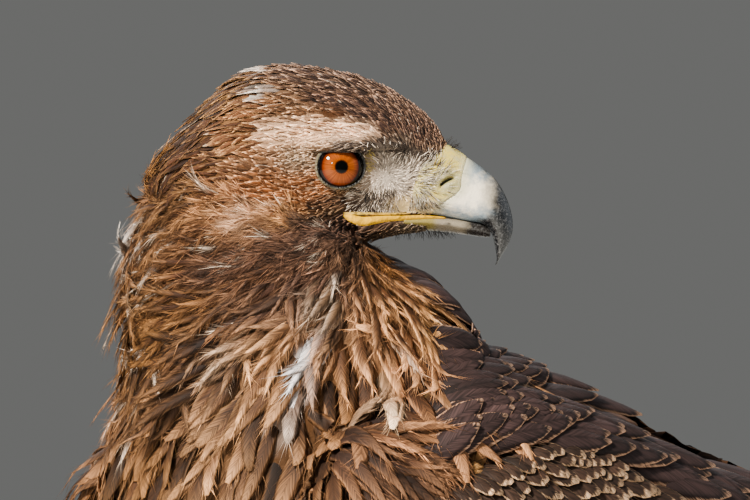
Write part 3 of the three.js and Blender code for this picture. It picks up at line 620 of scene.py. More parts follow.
# Streaks and patches on the head and the neck, and a painted shadow line under the brow, as lines in its
# side view with a reach and two colours.
HEAD_MARKS = [
    [38, 16, 24, 30, 9, "#2c1f1a", "#9a7660"],
    [24, 30, -20, 41, 10, "#35251f", "#b08a70"],
    [30, 14, 8, 25, 6, "#291b17", "#866550"],
    [8, 25, -12, 29, 5, "#2e1f1a", "#94705a"],
    [10, 14, -6, 15.5, 4.6, "#e8b894", "#ffe2c4"],
    [-6, 15.5, -30, 14, 5.6, "#e0ae88", "#ffdcb8"],
    [26, 12, 12, 10.5, 3.4, "#34271f", "#8b7664"],
    [16, 9, -2, 9.5, 2.2, "#2d231f", "#9b8879"],
    # A near-black line along the brow's lower edge: painted shadow under the brow.
    [18, 6.6, -7, 6.8, 1.2, "#0f0b09", "#312722"],
    [-3, 22, -6, 22.5, 3.5, "#3b2313", "#7a5135"],
    [-33, 31, -36, 29, 2.2, "#c9bcb3", "#efe4dc"],
    [-36, 39, -32, 40, 1.6, "#c4b5aa", "#e8dcd2"],
    [-8, -7, -36, -8, 8, "#693a18", "#b8845e"],
    [-36, -19, -42, -21, 4, "#754f34", "#d0a584"],
    [8, -13, -12, -14, 2.6, "#382418", "#78553b"],
    [14, -21, -14, -22, 4, "#291c15", "#6c503d"],
    [4, -25, -24, -31, 6, "#211612", "#5b4133"],
    [-24, -31, -54, -42, 6, "#271914", "#644634"],
    [-60, 24, -80, -6, 5, "#231610", "#8c5f2f"],
    [-77, -74, -80, -75, 1.4, "#c9b5a5", "#f0e4d8"],
    [-78, -20, -84, -23, 2.6, "#77685c", "#d9d0c8"],
    [-79, -31, -86, -33, 2.4, "#77685c", "#d9d0c8"],
    [-80, -50, -88, -53, 2.4, "#6b4a30", "#c49a72"],
    [-14, -74, -17, -90, 4, "#b8b0b0", "#eeeaec"],
    [-45, -74, -56, -80, 5, "#6e4c33", "#d9b696"],
    [-8, -56, -4, -64, 7, "#6d533d", "#b39983"],
    [17, -97, 21, -104, 4.6, "#a98260", "#ecc9a4"],
    [-22, -102, -28, -108, 5, "#7d6355", "#ceb7a6"],
    [-40, -60, -70, -84, 6, "#231611", "#604128"],
]


def unit(vectors):
    return vectors / np.maximum(np.linalg.norm(vectors, axis=-1, keepdims=True), 1e-12)


def head_way(side, ahead, left, up):
    return ahead * AHEAD + left * side * LEFT + up * UP


def body_way(side, left, forward, up):
    return left * side, -forward, up


def note_rows(notes, beside, way):
    """Places, lies, sizes and colours of notes on both sides of the bird."""
    rows = []
    for a, b, c, da, db, dc, length, width, centre, fringe in notes:
        for side in (1, -1):
            colours = [*hexed(centre), *hexed(fringe)]
            rows.append([*beside(side)(a, b, c), *way(side, da, db, dc), length, width, *colours])
    return rows


body_notes = note_rows(HEAD_NOTES, beside_head, head_way)
body_notes += note_rows(BODY_NOTES, beside_body, body_way)
# Notes blend into each other over a few millimetres, and a near one counts for far more than the next.
NOTE_BLUR = 5 * MM
NOTE_PULL = 2.5
NOTED_AT_ONCE = 20000


def noted(points, notes=body_notes):
    """Lie, sizes and colours at points, from the nearest notes."""
    table = np.array(notes)
    found = []
    for some in np.array_split(points, max(1, len(points) // NOTED_AT_ONCE)):
        apart = ((some[:, None] - table[None, :, :3]) ** 2).sum(-1) + NOTE_BLUR**2
        weights = apart**-NOTE_PULL
        found.append(weights @ table[:, 3:] / weights.sum(1, keepdims=True))
    found = np.concatenate(found)
    return unit(found[:, :3]), found[:, 3], found[:, 4], found[:, 5:8], found[:, 8:11]


def marked(points, centre, fringe):
    """The noted colours, with the head's streaks, patches and painted brow shadow over them."""
    seen = head_view(points)
    for a1, u1, a2, u2, reach, inner, outer in HEAD_MARKS:
        start, line = np.array([a1, u1]), np.array([a2 - a1, u2 - u1])
        share = np.clip((seen[:, [0, 2]] - start) @ line / (line @ line), 0, 1)
        apart = np.linalg.norm(seen[:, [0, 2]] - start - share[:, None] * line, axis=1)
        cover = np.clip(1.35 - apart / reach, 0, 1)[:, None] * (np.abs(seen[:, 1]) < 75)[:, None]
        centre = centre * (1 - cover) + hexed(inner) * cover
        fringe = fringe * (1 - cover) + hexed(outer) * cover
    return centre, fringe


# Skin colour follows the feathers over it, darkened as painted shade because it shows only in the gaps
# between them, and the wings' skin is one dark colour darkened the same way. It is bare and pale between
# eye and bill, round the eye and at the corner of the mouth.
SKIN_SHADE = 0.5
WING_SHADE = "#3a2d29"
FACE_HALF = 40
# [ahead, up, reach ahead, reach up, how far it fades, colour], on the head.
BARE_PATCHES = [
    [22, -5, 14, 12, 1.4, "#ab9d8e"],
    [-1, 0, 12, 10, 1.6, "#97806c"],
    [30, -15, 6, 2.6, 2.2, "#ffe0a4"],
]


def told(target, name, values):
    """Writes a number, three numbers or a colour at each point, for the surface to be coloured by."""
    values = np.asarray(values, np.float32).reshape(len(target.data.vertices), -1)
    kinds = {1: ("FLOAT", "value"), 3: ("FLOAT_VECTOR", "vector"), 4: ("FLOAT_COLOR", "color")}
    kind, key = kinds[values.shape[1]]
    target.data.attributes.new(name, kind, "POINT").data.foreach_set(key, values.ravel())


def tinted(target, name, colours):
    told(target, name, np.column_stack([colours, np.ones(len(colours))]))


_, _, _, skin_centre, skin_fringe = noted(skin_points)
skin_centre, skin_fringe = marked(skin_points, skin_centre, skin_fringe)
skin_centre = (2 * skin_centre + skin_fringe) / 3
skin_centre[scalp_end:] = hexed(WING_SHADE)
# Painted shade: all skin is darkened to stand for the shade in the gaps between feathers.
skin_centre *= SKIN_SHADE
ahead_on_skin, left_on_skin, up_on_skin = head_view(skin_points).T
for ahead, up, reach, rise, fade, tint in BARE_PATCHES:
    cover = np.clip(fade - np.hypot((ahead_on_skin - ahead) / reach, (up_on_skin - up) / rise), 0, 1)
    cover = (cover * (np.abs(left_on_skin) <= FACE_HALF))[:, None]
    skin_centre = skin_centre * (1 - cover) + hexed(tint) * cover
tinted(skin, "marking", skin_centre)


def down_look(tree, shader):
    """Matt down in the colour of the feathers over it, mottled and soft."""
    place = add(tree, "TexCoord").outputs["Object"]
    tint = add(tree, "Attribute", attribute_name="marking").outputs["Color"]
    fluff = add(tree, "TexNoise", {"Vector": place, "Scale": 900, "Detail": 3}).outputs["Fac"]
    shade = add(tree, "MapRange", {"Value": fluff, "To Min": 0.7, "To Max": 1.2}).outputs["Result"]
    product = add(tree, "VectorMath", {0: tint, "Scale": shade}, operation="SCALE")
    tree.links.new(product.outputs["Vector"], shader.inputs["Base Color"])
    raised = add(tree, "Bump", {"Height": fluff, "Distance": 0.0006})
    tree.links.new(raised.outputs["Normal"], shader.inputs["Normal"])


skin.data.materials.append(painted("down_covered_skin", down_look, 0.9, Specular_IOR_Level=0.05))
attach(skin, "root")
flesh = ["head", "neck", "torso", "wing_left", "wing_right", "tail"]
flesh += ["thigh_left", "thigh_right", "shank_left", "shank_right"]
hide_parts(*flesh)


# The eyes are balls of glass with the iris painted on: orange-brown, streaked out from a round pupil, in
# a black rim that is painted shade where the ball meets the lids. Each lies in a pair of bare granular
# lids, whose upper edge runs straight under the brow.
EYE_BALL = {"ahead": -1.8, "out": 17.5, "up": 0.8, "radius": 12, "turn": math.radians(78)}
EYE_BACK = 3
BEHIND_LID = 0.2
IRIS, PUPIL = 7.6, 2.35
iris_end, pupil_end = IRIS / EYE_BALL["radius"], PUPIL / EYE_BALL["radius"]
# The iris from its middle out, as shares of the eyeball's radius, and the lids from the eye out.
STREAK_SHIFT = 0.015
IRIS_STOPS = [
    (pupil_end, "#020202"),
    (pupil_end + 0.02, "#2c1002"),
    (pupil_end + 0.06, "#713200"),
    (0.42, "#7c3a0e"),
    (0.52, "#70330e"),
    (iris_end - 0.03, "#561b00"),
    # Beyond the iris the ball is near black: painted shade in the gap between the iris and the lids.
    (iris_end + 0.005, "#120704"),
    (iris_end + 0.06, "#060505"),
]
LID_STOPS = [(0.0, "#0c0a09"), (0.05, "#171310"), (0.18, "#564d30"), (0.45, "#7d7054"), (1.0, "#85735f")]
# Degrees off the eye's axis where the lids start and end on its four sides, and the brow's straight cut.
LID_REACH = {"front": 57, "back": 46, "low": 41.4, "high": 45, "cut": 5.6}
LID_END = {"front": 66, "back": 55, "low": 49, "high": 62}
# The lids' cross section, as shares of the way out from the eye and distances from its centre.
LID_LAYERS = [
    [0.0, 12.15],
    [0.02, 12.5],
    [0.08, 12.85],
    [0.25, 12.95],
    [0.6, 12.75],
    [1.0, 12.2],
    [1.0, 11.2],
    [0.3, 11.4],
]


def eye_frame(side):
    """Centre of an eye, its axis and the direction to its front."""
    centre = on_head(EYE_BALL["ahead"], side * EYE_BALL["out"], EYE_BALL["up"])
    axis = AHEAD * math.cos(EYE_BALL["turn"]) + side * LEFT * math.sin(EYE_BALL["turn"])
    front = AHEAD * math.sin(EYE_BALL["turn"]) - side * LEFT * math.cos(EYE_BALL["turn"])
    return centre, axis, front


def on_ball(side, off, around, radius):
    """Places at an angle off an eye's axis and an angle round it, from the front over the top."""
    centre, axis, front = eye_frame(side)
    off, around, radius = (np.asarray(value, float)[..., None] for value in (off, around, radius))
    side_way = front * np.cos(around) + UP * np.sin(around)
    return centre + radius * MM * (axis * np.cos(off) + side_way * np.sin(off))


def seated(target, points):
    """Notes each point's place on the head in millimetres, for the surface to be coloured by."""
    told(target, "seat", head_view(points))


def looped(name, rings):
    """A ring-shaped body, closed both round each ring and along them."""
    steps, around = rings.shape[:2]
    i, j = np.meshgrid(np.arange(steps), np.arange(around), indexing="ij")
    i2, j2 = (i + 1) % steps, (j + 1) % around
    quads = [i * around + j, i * around + j2, i2 * around + j2, i2 * around + j]
    quads = np.stack(quads, -1).reshape(-1, 4)
    points = rings.reshape(-1, 3)
    away = points[quads].mean(1) - rings.mean(1)[np.repeat(np.arange(steps), around)]
    corners = points[quads]
    outs = np.cross(corners[:, 2] - corners[:, 0], corners[:, 3] - corners[:, 1])
    return piece(name, points, quads if np.sum(outs * away) > 0 else quads[:, ::-1])


def iris_look(tree, shader):
    """Fine rays out from a round pupil, in orange-brown that darkens to a black rim, painted shade under the
    lids, under wet glass.
    """
    disc = add(tree, "Attribute", attribute_name="disc").outputs["Vector"]
    off, front, high = add(tree, "SeparateXYZ", [disc]).outputs
    rays = add(tree, "CombineXYZ", (front, high)).outputs[0]
    wide = add(tree, "VectorMath", {0: rays, "Scale": 9.0}, operation="SCALE").outputs["Vector"]
    feeds = {"Vector": wide, "Scale": 1.0, "Detail": 4, "Roughness": 0.7}
    streaks = add(tree, "TexNoise", feeds).outputs["Fac"]
    away = add(tree, "Math", (off, EYE_BALL["radius"]), operation="DIVIDE").outputs[0]
    wander = add(tree, "Math", (streaks, 0.03), operation="MULTIPLY").outputs[0]
    reach = add(tree, "Math", (away, wander), operation="ADD").outputs[0]
    stops = [(at + STREAK_SHIFT, colour) for at, colour in IRIS_STOPS]
    ramp = add(tree, "ValToRGB", [reach], stops).outputs["Color"]
    shade = add(tree, "MapRange", (streaks, 0.3, 0.7, 0.5, 1.4)).outputs["Result"]
    tint = add(tree, "VectorMath", {0: ramp, "Scale": shade}, operation="SCALE")
    tree.links.new(tint.outputs["Vector"], shader.inputs["Base Color"])


EYE_GLOSS = {"Specular_IOR_Level": 0.0, "Coat_Weight": 0.55, "Coat_Roughness": 0.02, "Coat_IOR": 1.36}
iris_glass = painted("iris_under_glass", iris_look, 0.5, **EYE_GLOSS)


def lid_look(tree, shader):
    """Small round grains, black along the wet edge and duller and paler away from it."""
    place = add(tree, "TexCoord").outputs["Object"]
    grains = add(tree, "TexVoronoi", {"Vector": place, "Scale": 1100}).outputs["Distance"]
    disc = add(tree, "Attribute", attribute_name="disc").outputs["Vector"]
    rim = add(tree, "SeparateXYZ", [disc]).outputs["X"]
    ramp = add(tree, "ValToRGB", [rim], LID_STOPS).outputs["Color"]
    feeds = {"Value": grains, "From Max": 0.6, "To Min": 1.25, "To Max": 0.45}
    shade = add(tree, "MapRange", feeds).outputs["Result"]
    tint = add(tree, "VectorMath", {0: ramp, "Scale": shade}, operation="SCALE")
    tree.links.new(tint.outputs["Vector"], shader.inputs["Base Color"])
    raised = add(tree, "Bump", {"Height": grains, "Distance": 0.0005}, invert=True)
    tree.links.new(raised.outputs["Normal"], shader.inputs["Normal"])


def lid_line(reaches, around):
    """Angles off the eye's axis of a line round it that reaches unlike far to its four sides."""
    level = np.where(np.cos(around) > 0, reaches["front"], reaches["back"])
    rise = np.where(np.sin(around) > 0, reaches["high"], reaches["low"])
    return np.radians(1 / np.sqrt((np.cos(around) / level) ** 2 + (np.sin(around) / rise) ** 2))


LID_TURNS = 120
lid_skin = painted("granular_lid_skin", lid_look, 0.5)
for side, word in ((1, "left"), (-1, "right")):
    off = np.radians(np.linspace(0.5, 90, 90))
    around = np.linspace(0, 2 * math.pi, 96, endpoint=False)
    off, around = np.meshgrid(off, around, indexing="ij")
    hidden = np.clip((off - lid_line(LID_END, around)) / BEHIND_LID, 0, 1)
    rings = on_ball(side, off, around, EYE_BALL["radius"] - EYE_BACK * hidden)
    eyeball = closed("eyeball_" + word, rings)
    disc = [EYE_BALL["radius"] * np.sin(off), np.cos(around), np.sin(around)]
    told(eyeball, "disc", np.stack(disc, -1).reshape(-1, 3))
    eyeball.data.materials.append(iris_glass)
    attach(eyeball, "root")
    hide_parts("eye_" + word)

    turns = np.ones((LID_TURNS, 1))
    around = np.linspace(0, 2 * math.pi, LID_TURNS, endpoint=False)
    reach, end = (lid_line(reaches, around) for reaches in (LID_REACH, LID_END))
    cut = LID_REACH["cut"] / np.maximum(EYE_BALL["radius"] * np.sin(around), 1e-6)
    reach = np.where((np.sin(around) > 0) & (cut < np.sin(reach)), np.arcsin(np.clip(cut, 0, 1)), reach)
    share, radius = np.array(LID_LAYERS).T
    off = reach[:, None] + (end - reach)[:, None] * share
    rings = on_ball(side, off, around[:, None] * np.ones(len(share)), radius * turns)
    lids = looped("lids_" + word, rings)
    told(lids, "disc", np.stack([share * turns] * 3, -1).reshape(-1, 3))
    lids.data.materials.append(lid_skin)
    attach(lids, "root")

# The bill is horn over bone: pale blue-grey at its sides, dark along its ridge and at its hook. The cere
# is a sleeve of waxy yellow skin over its root, with a slit nostril on each side and creases behind it.
# Rows of the bill, the jaw and the cere's edge: upper line, lower line and half width, ahead and up.
BILL = [
    [34, 13, 27, -17, 14],
    [40, 11, 31, -18, 13.5],
    [46, 8, 37, -18.4, 12],
    [51.2, 4.6, 43, -19.6, 10.6],
    [56, 1.4, 48, -20.6, 9.4],
    [60.4, -2, 52.5, -21.2, 8.4],
    [64.2, -6.6, 56.5, -22, 7.2],
    [67.2, -12.6, 59.6, -24, 6],
    [69, -18.8, 61.2, -26.8, 4.9],
    [69.2, -24.6, 62, -30.2, 3.8],
    [67.6, -30, 62.6, -33.6, 2.7],
    [65, -34.4, 62.8, -36.4, 1.6],
    [63, -38, 62.2, -38.4, 0.6],
]
BILL_PEAR = 0.32
JAW = [
    [26, -18.2, 25, -24.6, 10.5],
    [36, -18.4, 35, -24.6, 9.4],
    [44, -19.4, 44, -25.4, 8.2],
    [51, -20.7, 51, -26.4, 6.8],
    [57, -22.2, 57, -27.2, 5.2],
    [60.4, -24.4, 60.2, -27.2, 3],
]
CERE_EDGE = [
    [53, 10],
    [51.4, 3.6],
    [50.4, 0],
    [49.4, -4.6],
    [49, -8],
    [47, -10.4],
    [43.4, -12.6],
    [40.5, -14.8],
    [38, -17.2],
    [35.6, -21],
]
NOSTRIL = {"ahead": 43, "up": -4.4, "half": 3.4, "slant": math.radians(30), "deep": 2.4, "wide": 0.75}


# [what it varies, how fine it is, detail]
HORN_NOISES = [
    ["wander", 0.35, 3],
    ["patch", 0.3, 3],
    ["cloud", 1.1, 3],
    ["polish", 2.5, 3],
    ["grain", 1.1, 5],
]
WAXY_HORN = "#c4c0a2"
WORN_HORN = "#7a7a7c"


def horn_look(dark_from, dark_to, glow, pale, dark, warm, root):
    """Horn that is warm about one height, pale above and below it, and dark along the bill's end. The warm
    band is partly a painted highlight on the upper bill, and the dark end partly a painted shadow under the
    hook on the lower bill.
    """

    def build(tree, shader):
        seat = add(tree, "Attribute", attribute_name="seat").outputs["Vector"]
        ahead, _, up = add(tree, "SeparateXYZ", [seat]).outputs
        noise = {}
        for word, scale, detail in HORN_NOISES:
            feeds = {"Vector": seat, "Scale": scale, "Detail": detail}
            noise[word] = add(tree, "TexNoise", feeds).outputs["Fac"]
        wander = add(tree, "Math", (noise["wander"], 5.0), operation="MULTIPLY").outputs[0]
        reach = add(tree, "Math", (ahead, wander), operation="ADD").outputs[0]
        for feeds in ((up, -4, 3, 0, 5), (up, -22.5, -17.5, 7, 0)):
            further = add(tree, "MapRange", feeds, interpolation_type="SMOOTHSTEP").outputs["Result"]
            reach = add(tree, "Math", (reach, further), operation="ADD").outputs[0]
        middle = add(tree, "Math", (up, glow), operation="SUBTRACT").outputs[0]
        middle = add(tree, "Math", (middle, 0.0), operation="ABSOLUTE").outputs[0]
        patchy = add(tree, "Math", (noise["patch"], 12.0), operation="MULTIPLY").outputs[0]
        middle = add(tree, "Math", (middle, patchy), operation="ADD").outputs[0]
        covers = {
            "dark": (reach, dark_from + 2.5, dark_to + 2.5, 0, 1),
            "warm": (middle, 8, 16, 1, 0),
            "worn": (noise["cloud"], 0.45, 0.75, 0, 0.35),
            "root": (ahead, 36, 40, 0.8, 0),
            "rough": (noise["polish"], 0.35, 0.7, 0.22, 0.42),
        }
        for word, feeds in covers.items():
            covers[word] = add(tree, "MapRange", feeds, interpolation_type="SMOOTHSTEP").outputs["Result"]
        waxy = add(tree, "Attribute", attribute_name="waxy").outputs["Fac"]
        deep = add(tree, "Mix", {0: covers["worn"], 6: dark, 7: WORN_HORN}, data_type="RGBA").outputs[2]
        colour = pale
        layers = [(covers["warm"], warm), (covers["root"], root), (waxy, WAXY_HORN), (covers["dark"], deep)]
        for cover, tint in layers:
            colour = add(tree, "Mix", {0: cover, 6: colour, 7: tint}, data_type="RGBA").outputs[2]
        tree.links.new(colour, shader.inputs["Base Color"])
        tree.links.new(covers["rough"], shader.inputs["Roughness"])
        raised = add(tree, "Bump", {"Height": noise["grain"], "Distance": 0.0004, "Strength": 0.5})
        tree.links.new(raised.outputs["Normal"], shader.inputs["Normal"])

    return build


# Upper bill: the ivory band at mid height is partly the horn's colour and partly a painted highlight.
horn_tones = horn_look(54, 64.5, -10, "#8796a0", "#0a0c0f", "#f7ead2", "#f7ead2")
# Lower bill: its dark end is partly dark horn and partly painted shadow under the upper bill's hook.
jaw_tones = horn_look(55, 60, -21, "#6c6454", "#1d1a18", "#7d7362", "#7d6f26")
horn = painted("bill_horn", horn_tones, 0.3, Coat_Weight=0.25, Coat_Roughness=0.25)
jaw_horn = painted("lower_bill_horn", jaw_tones, 0.35)


def past_cere(points):
    """How far places lie before the front edge of the cere, in millimetres."""
    seen = head_view(points)
    edge = rows_at(CERE_EDGE, np.linspace(0, 1, 60))[::-1]
    return seen[..., 0] - np.interp(seen[..., 2], edge[:, 1], edge[:, 0])


upper = loft(BILL, along_head, 96, 64, pear=BILL_PEAR)
inset = np.clip(-past_cere(upper) - 1.0, 0, 4)[..., None]
upper_core = upper + inset * MM * unit(upper.mean(1, keepdims=True) - upper)
upper_bill = closed("upper_bill", upper_core)
seated(upper_bill, upper.reshape(-1, 3))
waxy = np.clip(1 - past_cere(upper) / 5, 0, 1) ** 1.5
told(upper_bill, "waxy", 0.85 * waxy.ravel())
upper_bill.data.materials.append(horn)
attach(upper_bill, "root")
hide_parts("bill_upper")
lower = loft(JAW, along_head, 48, 40, pear=-0.2)
lower_bill = closed("lower_bill", lower)
seated(lower_bill, lower.reshape(-1, 3))
lower_bill.data.materials.append(jaw_horn)
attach(lower_bill, "root")
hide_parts("bill_lower")


def cere_sleeve(around, steps):
    """Rings over the root of the bill that end at the cere's front edge."""
    fine = 240
    outside = loft(BILL, along_head, fine, around, grow=0.35, pear=BILL_PEAR)
    inside = loft(BILL, along_head, fine, around, grow=-0.9, pear=BILL_PEAR)
    past = past_cere(outside)
    columns = np.arange(around)
    ends = np.argmax(past > 0, axis=0)
    beyond, before = past[ends, columns], past[ends - 1, columns]
    ends = ends - beyond / (beyond - before)
    rings = []
    for share in np.linspace(0, 1, steps + 1):
        at = ends * share
        low = np.minimum(at.astype(int), fine - 1)
        part = (at - low)[:, None]
        ring = outside[low, columns] * (1 - part) + outside[low + 1, columns] * part
        under = inside[low, columns] * (1 - part) + inside[low + 1, columns] * part
        closing = max(0.0, (share - 0.9) / 0.1) ** 2
        closing += max(0.0, 1 - share / 0.25) ** 2 * 2.6
        rings.append(ring * (1 - closing) + under * closing)
    return np.array(rings)


def from_slit(seen):
    """Distances along and off the line of a nostril, of places seen on the head."""
    ahead, up = seen[..., 0] - NOSTRIL["ahead"], seen[..., 2] - NOSTRIL["up"]
    run = ahead * math.cos(NOSTRIL["slant"]) + up * math.sin(NOSTRIL["slant"])
    return run, up * math.cos(NOSTRIL["slant"]) - ahead * math.sin(NOSTRIL["slant"])


def creased(rings):
    """Presses the nostril slits into the cere, with a swelling below and folds above and behind them."""
    seen = head_view(rings)
    ahead, up = seen[..., 0] - NOSTRIL["ahead"], seen[..., 2] - NOSTRIL["up"]
    run, off = from_slit(seen)
    off = off + 0.05 * run**2
    slit = np.exp(-((off / NOSTRIL["wide"]) ** 4)) * np.exp(-((run / NOSTRIL["half"]) ** 6))
    lip = np.exp(-(((off - 1.7) / 0.7) ** 2)) * np.exp(-((run / 4) ** 4))
    swell = np.exp(-(((off + 2.4) / 1.5) ** 2) - ((run - 0.6) / 3) ** 4)
    near_fold = np.exp(-(((off - 3.6) / 2.2) ** 2) - ((run + 1.5) / 4.5) ** 4)
    folds = np.sin(off * 3.6 + 0.5 * np.sin(run)) * near_fold
    behind = np.sin(ahead * 3.2 + up * 0.8) * np.exp(-(((ahead + 5.5) / 1.8) ** 2) - (up / 7) ** 4)
    depth = -NOSTRIL["deep"] * slit + 0.5 * lip + 0.7 * swell + 0.32 * folds + 0.22 * behind
    way = unit(np.cross(np.roll(rings, -1, 1) - np.roll(rings, 1, 1), np.gradient(rings, axis=0)))
    middle = rings.mean(1, keepdims=True)
    way = way * np.sign(np.sum(way * (rings - middle), -1, keepdims=True))
    return rings + way * depth[..., None] * MM


CERE_TINTS = {"edge": "#c4c0a2", "flesh": "#fad99a", "grey": "#8a8868", "nostril_shade": "#120e09"}


def cere_look(tree, shader):
    """Yellow skin with a waxy sheen, blotched, greyer and paler at its edges, and painted shade deep in the
    nostrils.
    """
    seat = add(tree, "Attribute", attribute_name="seat").outputs["Vector"]
    grains = add(tree, "TexNoise", {"Vector": seat, "Scale": 2.2, "Detail": 4}).outputs["Fac"]
    blotch = add(tree, "TexNoise", {"Vector": seat, "Scale": 0.28, "Detail": 2}).outputs["Fac"]
    wide = add(tree, "MapRange", (blotch, 0.35, 0.65)).outputs["Result"]
    colour = add(tree, "Mix", {0: wide, 6: "#cdb750", 7: "#b5a873"}, data_type="RGBA").outputs[2]
    for part, tint in CERE_TINTS.items():
        cover = add(tree, "Attribute", attribute_name=part).outputs["Fac"]
        colour = add(tree, "Mix", {0: cover, 6: colour, 7: tint}, data_type="RGBA").outputs[2]
    tree.links.new(colour, shader.inputs["Base Color"])
    raised = add(tree, "Bump", {"Height": grains, "Distance": 0.0005, "Strength": 0.7})
    tree.links.new(raised.outputs["Normal"], shader.inputs["Normal"])


sleeve = cere_sleeve(150, 84)
pressed = creased(sleeve)
cere = closed("cere_skin", pressed)
seated(cere, sleeve.reshape(-1, 3))
on_cere = head_view(sleeve)
depth = np.linalg.norm(pressed - sleeve, axis=-1) / MM
greyed = np.hypot(on_cere[..., 0] - NOSTRIL["ahead"] - 0.6, (on_cere[..., 2] - NOSTRIL["up"] + 1) * 0.8)
covers = {
    "edge": 0.8 * np.clip(1 + (past_cere(sleeve) - 0.2) / 4, 0, 1),
    "flesh": np.clip((-10.5 - on_cere[..., 2]) / 3, 0, 1) * np.clip((40 - on_cere[..., 0]) / 4, 0, 1),
    "grey": 0.7 * np.clip(1.5 - greyed / 4, 0, 1),
    # Painted shade: the skin darkens where it is pressed deep, inside the nostril slits.
    "nostril_shade": np.clip(depth - 0.9, 0, 1),
}
for part, cover in covers.items():
    told(cere, part, cover.ravel())
CERE_DEPTH = {"Subsurface_Weight": 0.1, "Subsurface_Scale": 0.002}
cere.data.materials.append(painted("waxy_cere_skin", cere_look, 0.38, **CERE_DEPTH))
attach(cere, "root")
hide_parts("cere")

# The corner of the mouth is edged with two soft lips of bare yellow skin, the lower one the brighter, and
# a thin dark strand parts them, painted shade in the crease. They grow from the skin of the face and taper
# onto the horn.
# [ahead, left, up, radius across, radius over], on the head.
LIPS = {
    "lower": [
        [1.5, 26.4, -18.6, 0.4, 0.5],
        [4, 26.8, -19.5, 1.2, 1.5],
        [8.8, 26, -20.9, 1.8, 1.9],
        [14, 24.6, -20.2, 1.8, 1.8],
        [19, 22.4, -19.6, 1.6, 1.5],
        [25, 19.8, -19.4, 1.3, 1.2],
        [31, 17, -19.3, 1.0, 0.9],
        [37, 14.4, -19.3, 0.8, 0.6],
        [42, 11.2, -19.6, 0.5, 0.4],
    ],
    "upper": [
        [1.5, 26.2, -17.8, 0.4, 0.4],
        [6, 26.4, -17.9, 0.8, 0.7],
        [12, 24.3, -18.1, 0.8, 0.7],
        [18, 21.7, -18.1, 0.7, 0.6],
        [24, 19.0, -18.0, 0.5, 0.5],
        [28, 16.6, -17.9, 0.3, 0.3],
    ],
    # A thin dark strand in the crease between the lips: painted shade.
    "crease_shade": [
        [4, 27.2, -18.4, 0.2, 0.2],
        [9, 26.5, -18.9, 0.3, 0.32],
        [14, 25.6, -18.8, 0.3, 0.32],
        [19, 23.5, -18.55, 0.3, 0.3],
        [25, 20.9, -18.35, 0.25, 0.25],
        [31, 17.4, -18.1, 0.2, 0.2],
    ],
}
LIP_TINTS = {
    "lower": ("#d39d00", "#937004"),
    "upper": ("#bd9a3c", "#735a27"),
    "crease_shade": ("#35240c", "#20150a"),
}


def lip_look(bright, dull):
    """Soft skin with fine creases and duller blotches."""

    def build(tree, shader):
        place = add(tree, "TexCoord").outputs["Object"]
        blotch = add(tree, "TexNoise", {"Vector": place, "Scale": 420, "Detail": 4}).outputs["Fac"]
        mask = add(tree, "MapRange", (blotch, 0.48, 0.68)).outputs["Result"]
        tint = add(tree, "Mix", {0: mask, 6: bright, 7: dull}, data_type="RGBA").outputs[2]
        tree.links.new(tint, shader.inputs["Base Color"])
        raised = add(tree, "Bump", {"Height": blotch, "Distance": 0.0012, "Strength": 0.8})
        tree.links.new(raised.outputs["Normal"], shader.inputs["Normal"])

    return build


for side, word in ((1, "left"), (-1, "right")):
    for place, table in LIPS.items():
        lip = closed(f"{place}_lip_{word}", sweep(table, beside_head(side), LEFT, 60, 20))
        tones = lip_look(*LIP_TINTS[place])
        look = painted(f"{place}_lip_skin_{word}", tones, 0.5, Specular_IOR_Level=0.12)
        lip.data.materials.append(look)
        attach(lip, "root")
        if place == "lower":
            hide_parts("gape_" + word)


# Small feathers are soft blades on a thin shaft, each bedded in the skin at its root. They lie over one
# another like tiles: those of the face are the smallest, and they grow longer down the neck.
SPREAD = 5  # tries for each root that finds room
COVER = 0.012  # metres of skin over a place that count as covering it
SHOWN = 0.65  # share of a feather's length where its colours are noted
BEDDING = 0.045  # how deep a root is sunk, as a share of the feather's length
# Each blade's width from root to tip, as shares of its full width.
BLADE = {
    "lance": [0.5, 0.9, 1.0, 0.75, 0.08],
    "hackle": [0.45, 0.8, 1.0, 1.0, 0.9, 0.68, 0.36, 0.04],
    "round": [0.45, 0.8, 0.96, 1.0, 1.0, 0.94, 0.76, 0.3],
}


def is_covered(places, outs):
    """Whether the skin covers a place straight outwards, closely or from inside."""
    hits = [skin_finder.ray_cast(place + out * MM, out) for place, out in zip(places, outs)]
    return np.array(
        [
            far is not None and (np.dot(normal, out) > 0 or far < COVER)
            for (_, normal, _, far), out in zip(hits, outs)
        ]
    )


def strewn(wanted, share, seed, notes=body_notes):
    """Roots on the wanted faces of the skin, none nearer to the next than a share of its feather's size."""
    rng = np.random.default_rng(seed)
    a, b, c = np.moveaxis(skin_points[skin_faces[wanted]], 1, 0)
    areas = np.linalg.norm(np.cross(b - a, c - a), axis=1) / 2
    _, length, width, _, _ = noted((a + b + c) / 3, notes)
    gaps = share * np.sqrt(length * width) * MM
    weights = areas / gaps**2
    count = int(SPREAD * weights.sum())
    picks = rng.choice(len(areas), count, p=weights / weights.sum())
    s, t = rng.random((2, count, 1))
    s, t = np.where(s + t > 1, 1 - s, s), np.where(s + t > 1, 1 - t, t)
    spots = a[picks] + s * (b - a)[picks] + t * (c - a)[picks]
    near = KDTree(count)
    for i, spot in enumerate(spots):
        near.insert(spot, i)
    near.balance()
    free = np.ones(count, bool)
    kept = []
    for i in range(count):
        if free[i]:
            kept.append(i)
            free[[j for _, j, _ in near.find_range(spots[i], gaps[picks[i]])]] = False
    spots = spots[kept]
    return spots[~is_covered(*nearest(spots))]


def nearest(spots):
    """The skin's nearest places to some spots, with its smooth outward directions there."""
    found = [skin_finder.find_nearest(spot) for spot in spots]
    places = np.array([place for place, _, _, _ in found])
    faces = skin_faces[[index for _, _, index, _ in found]]
    return places, unit(skin_outs[faces].mean(1))


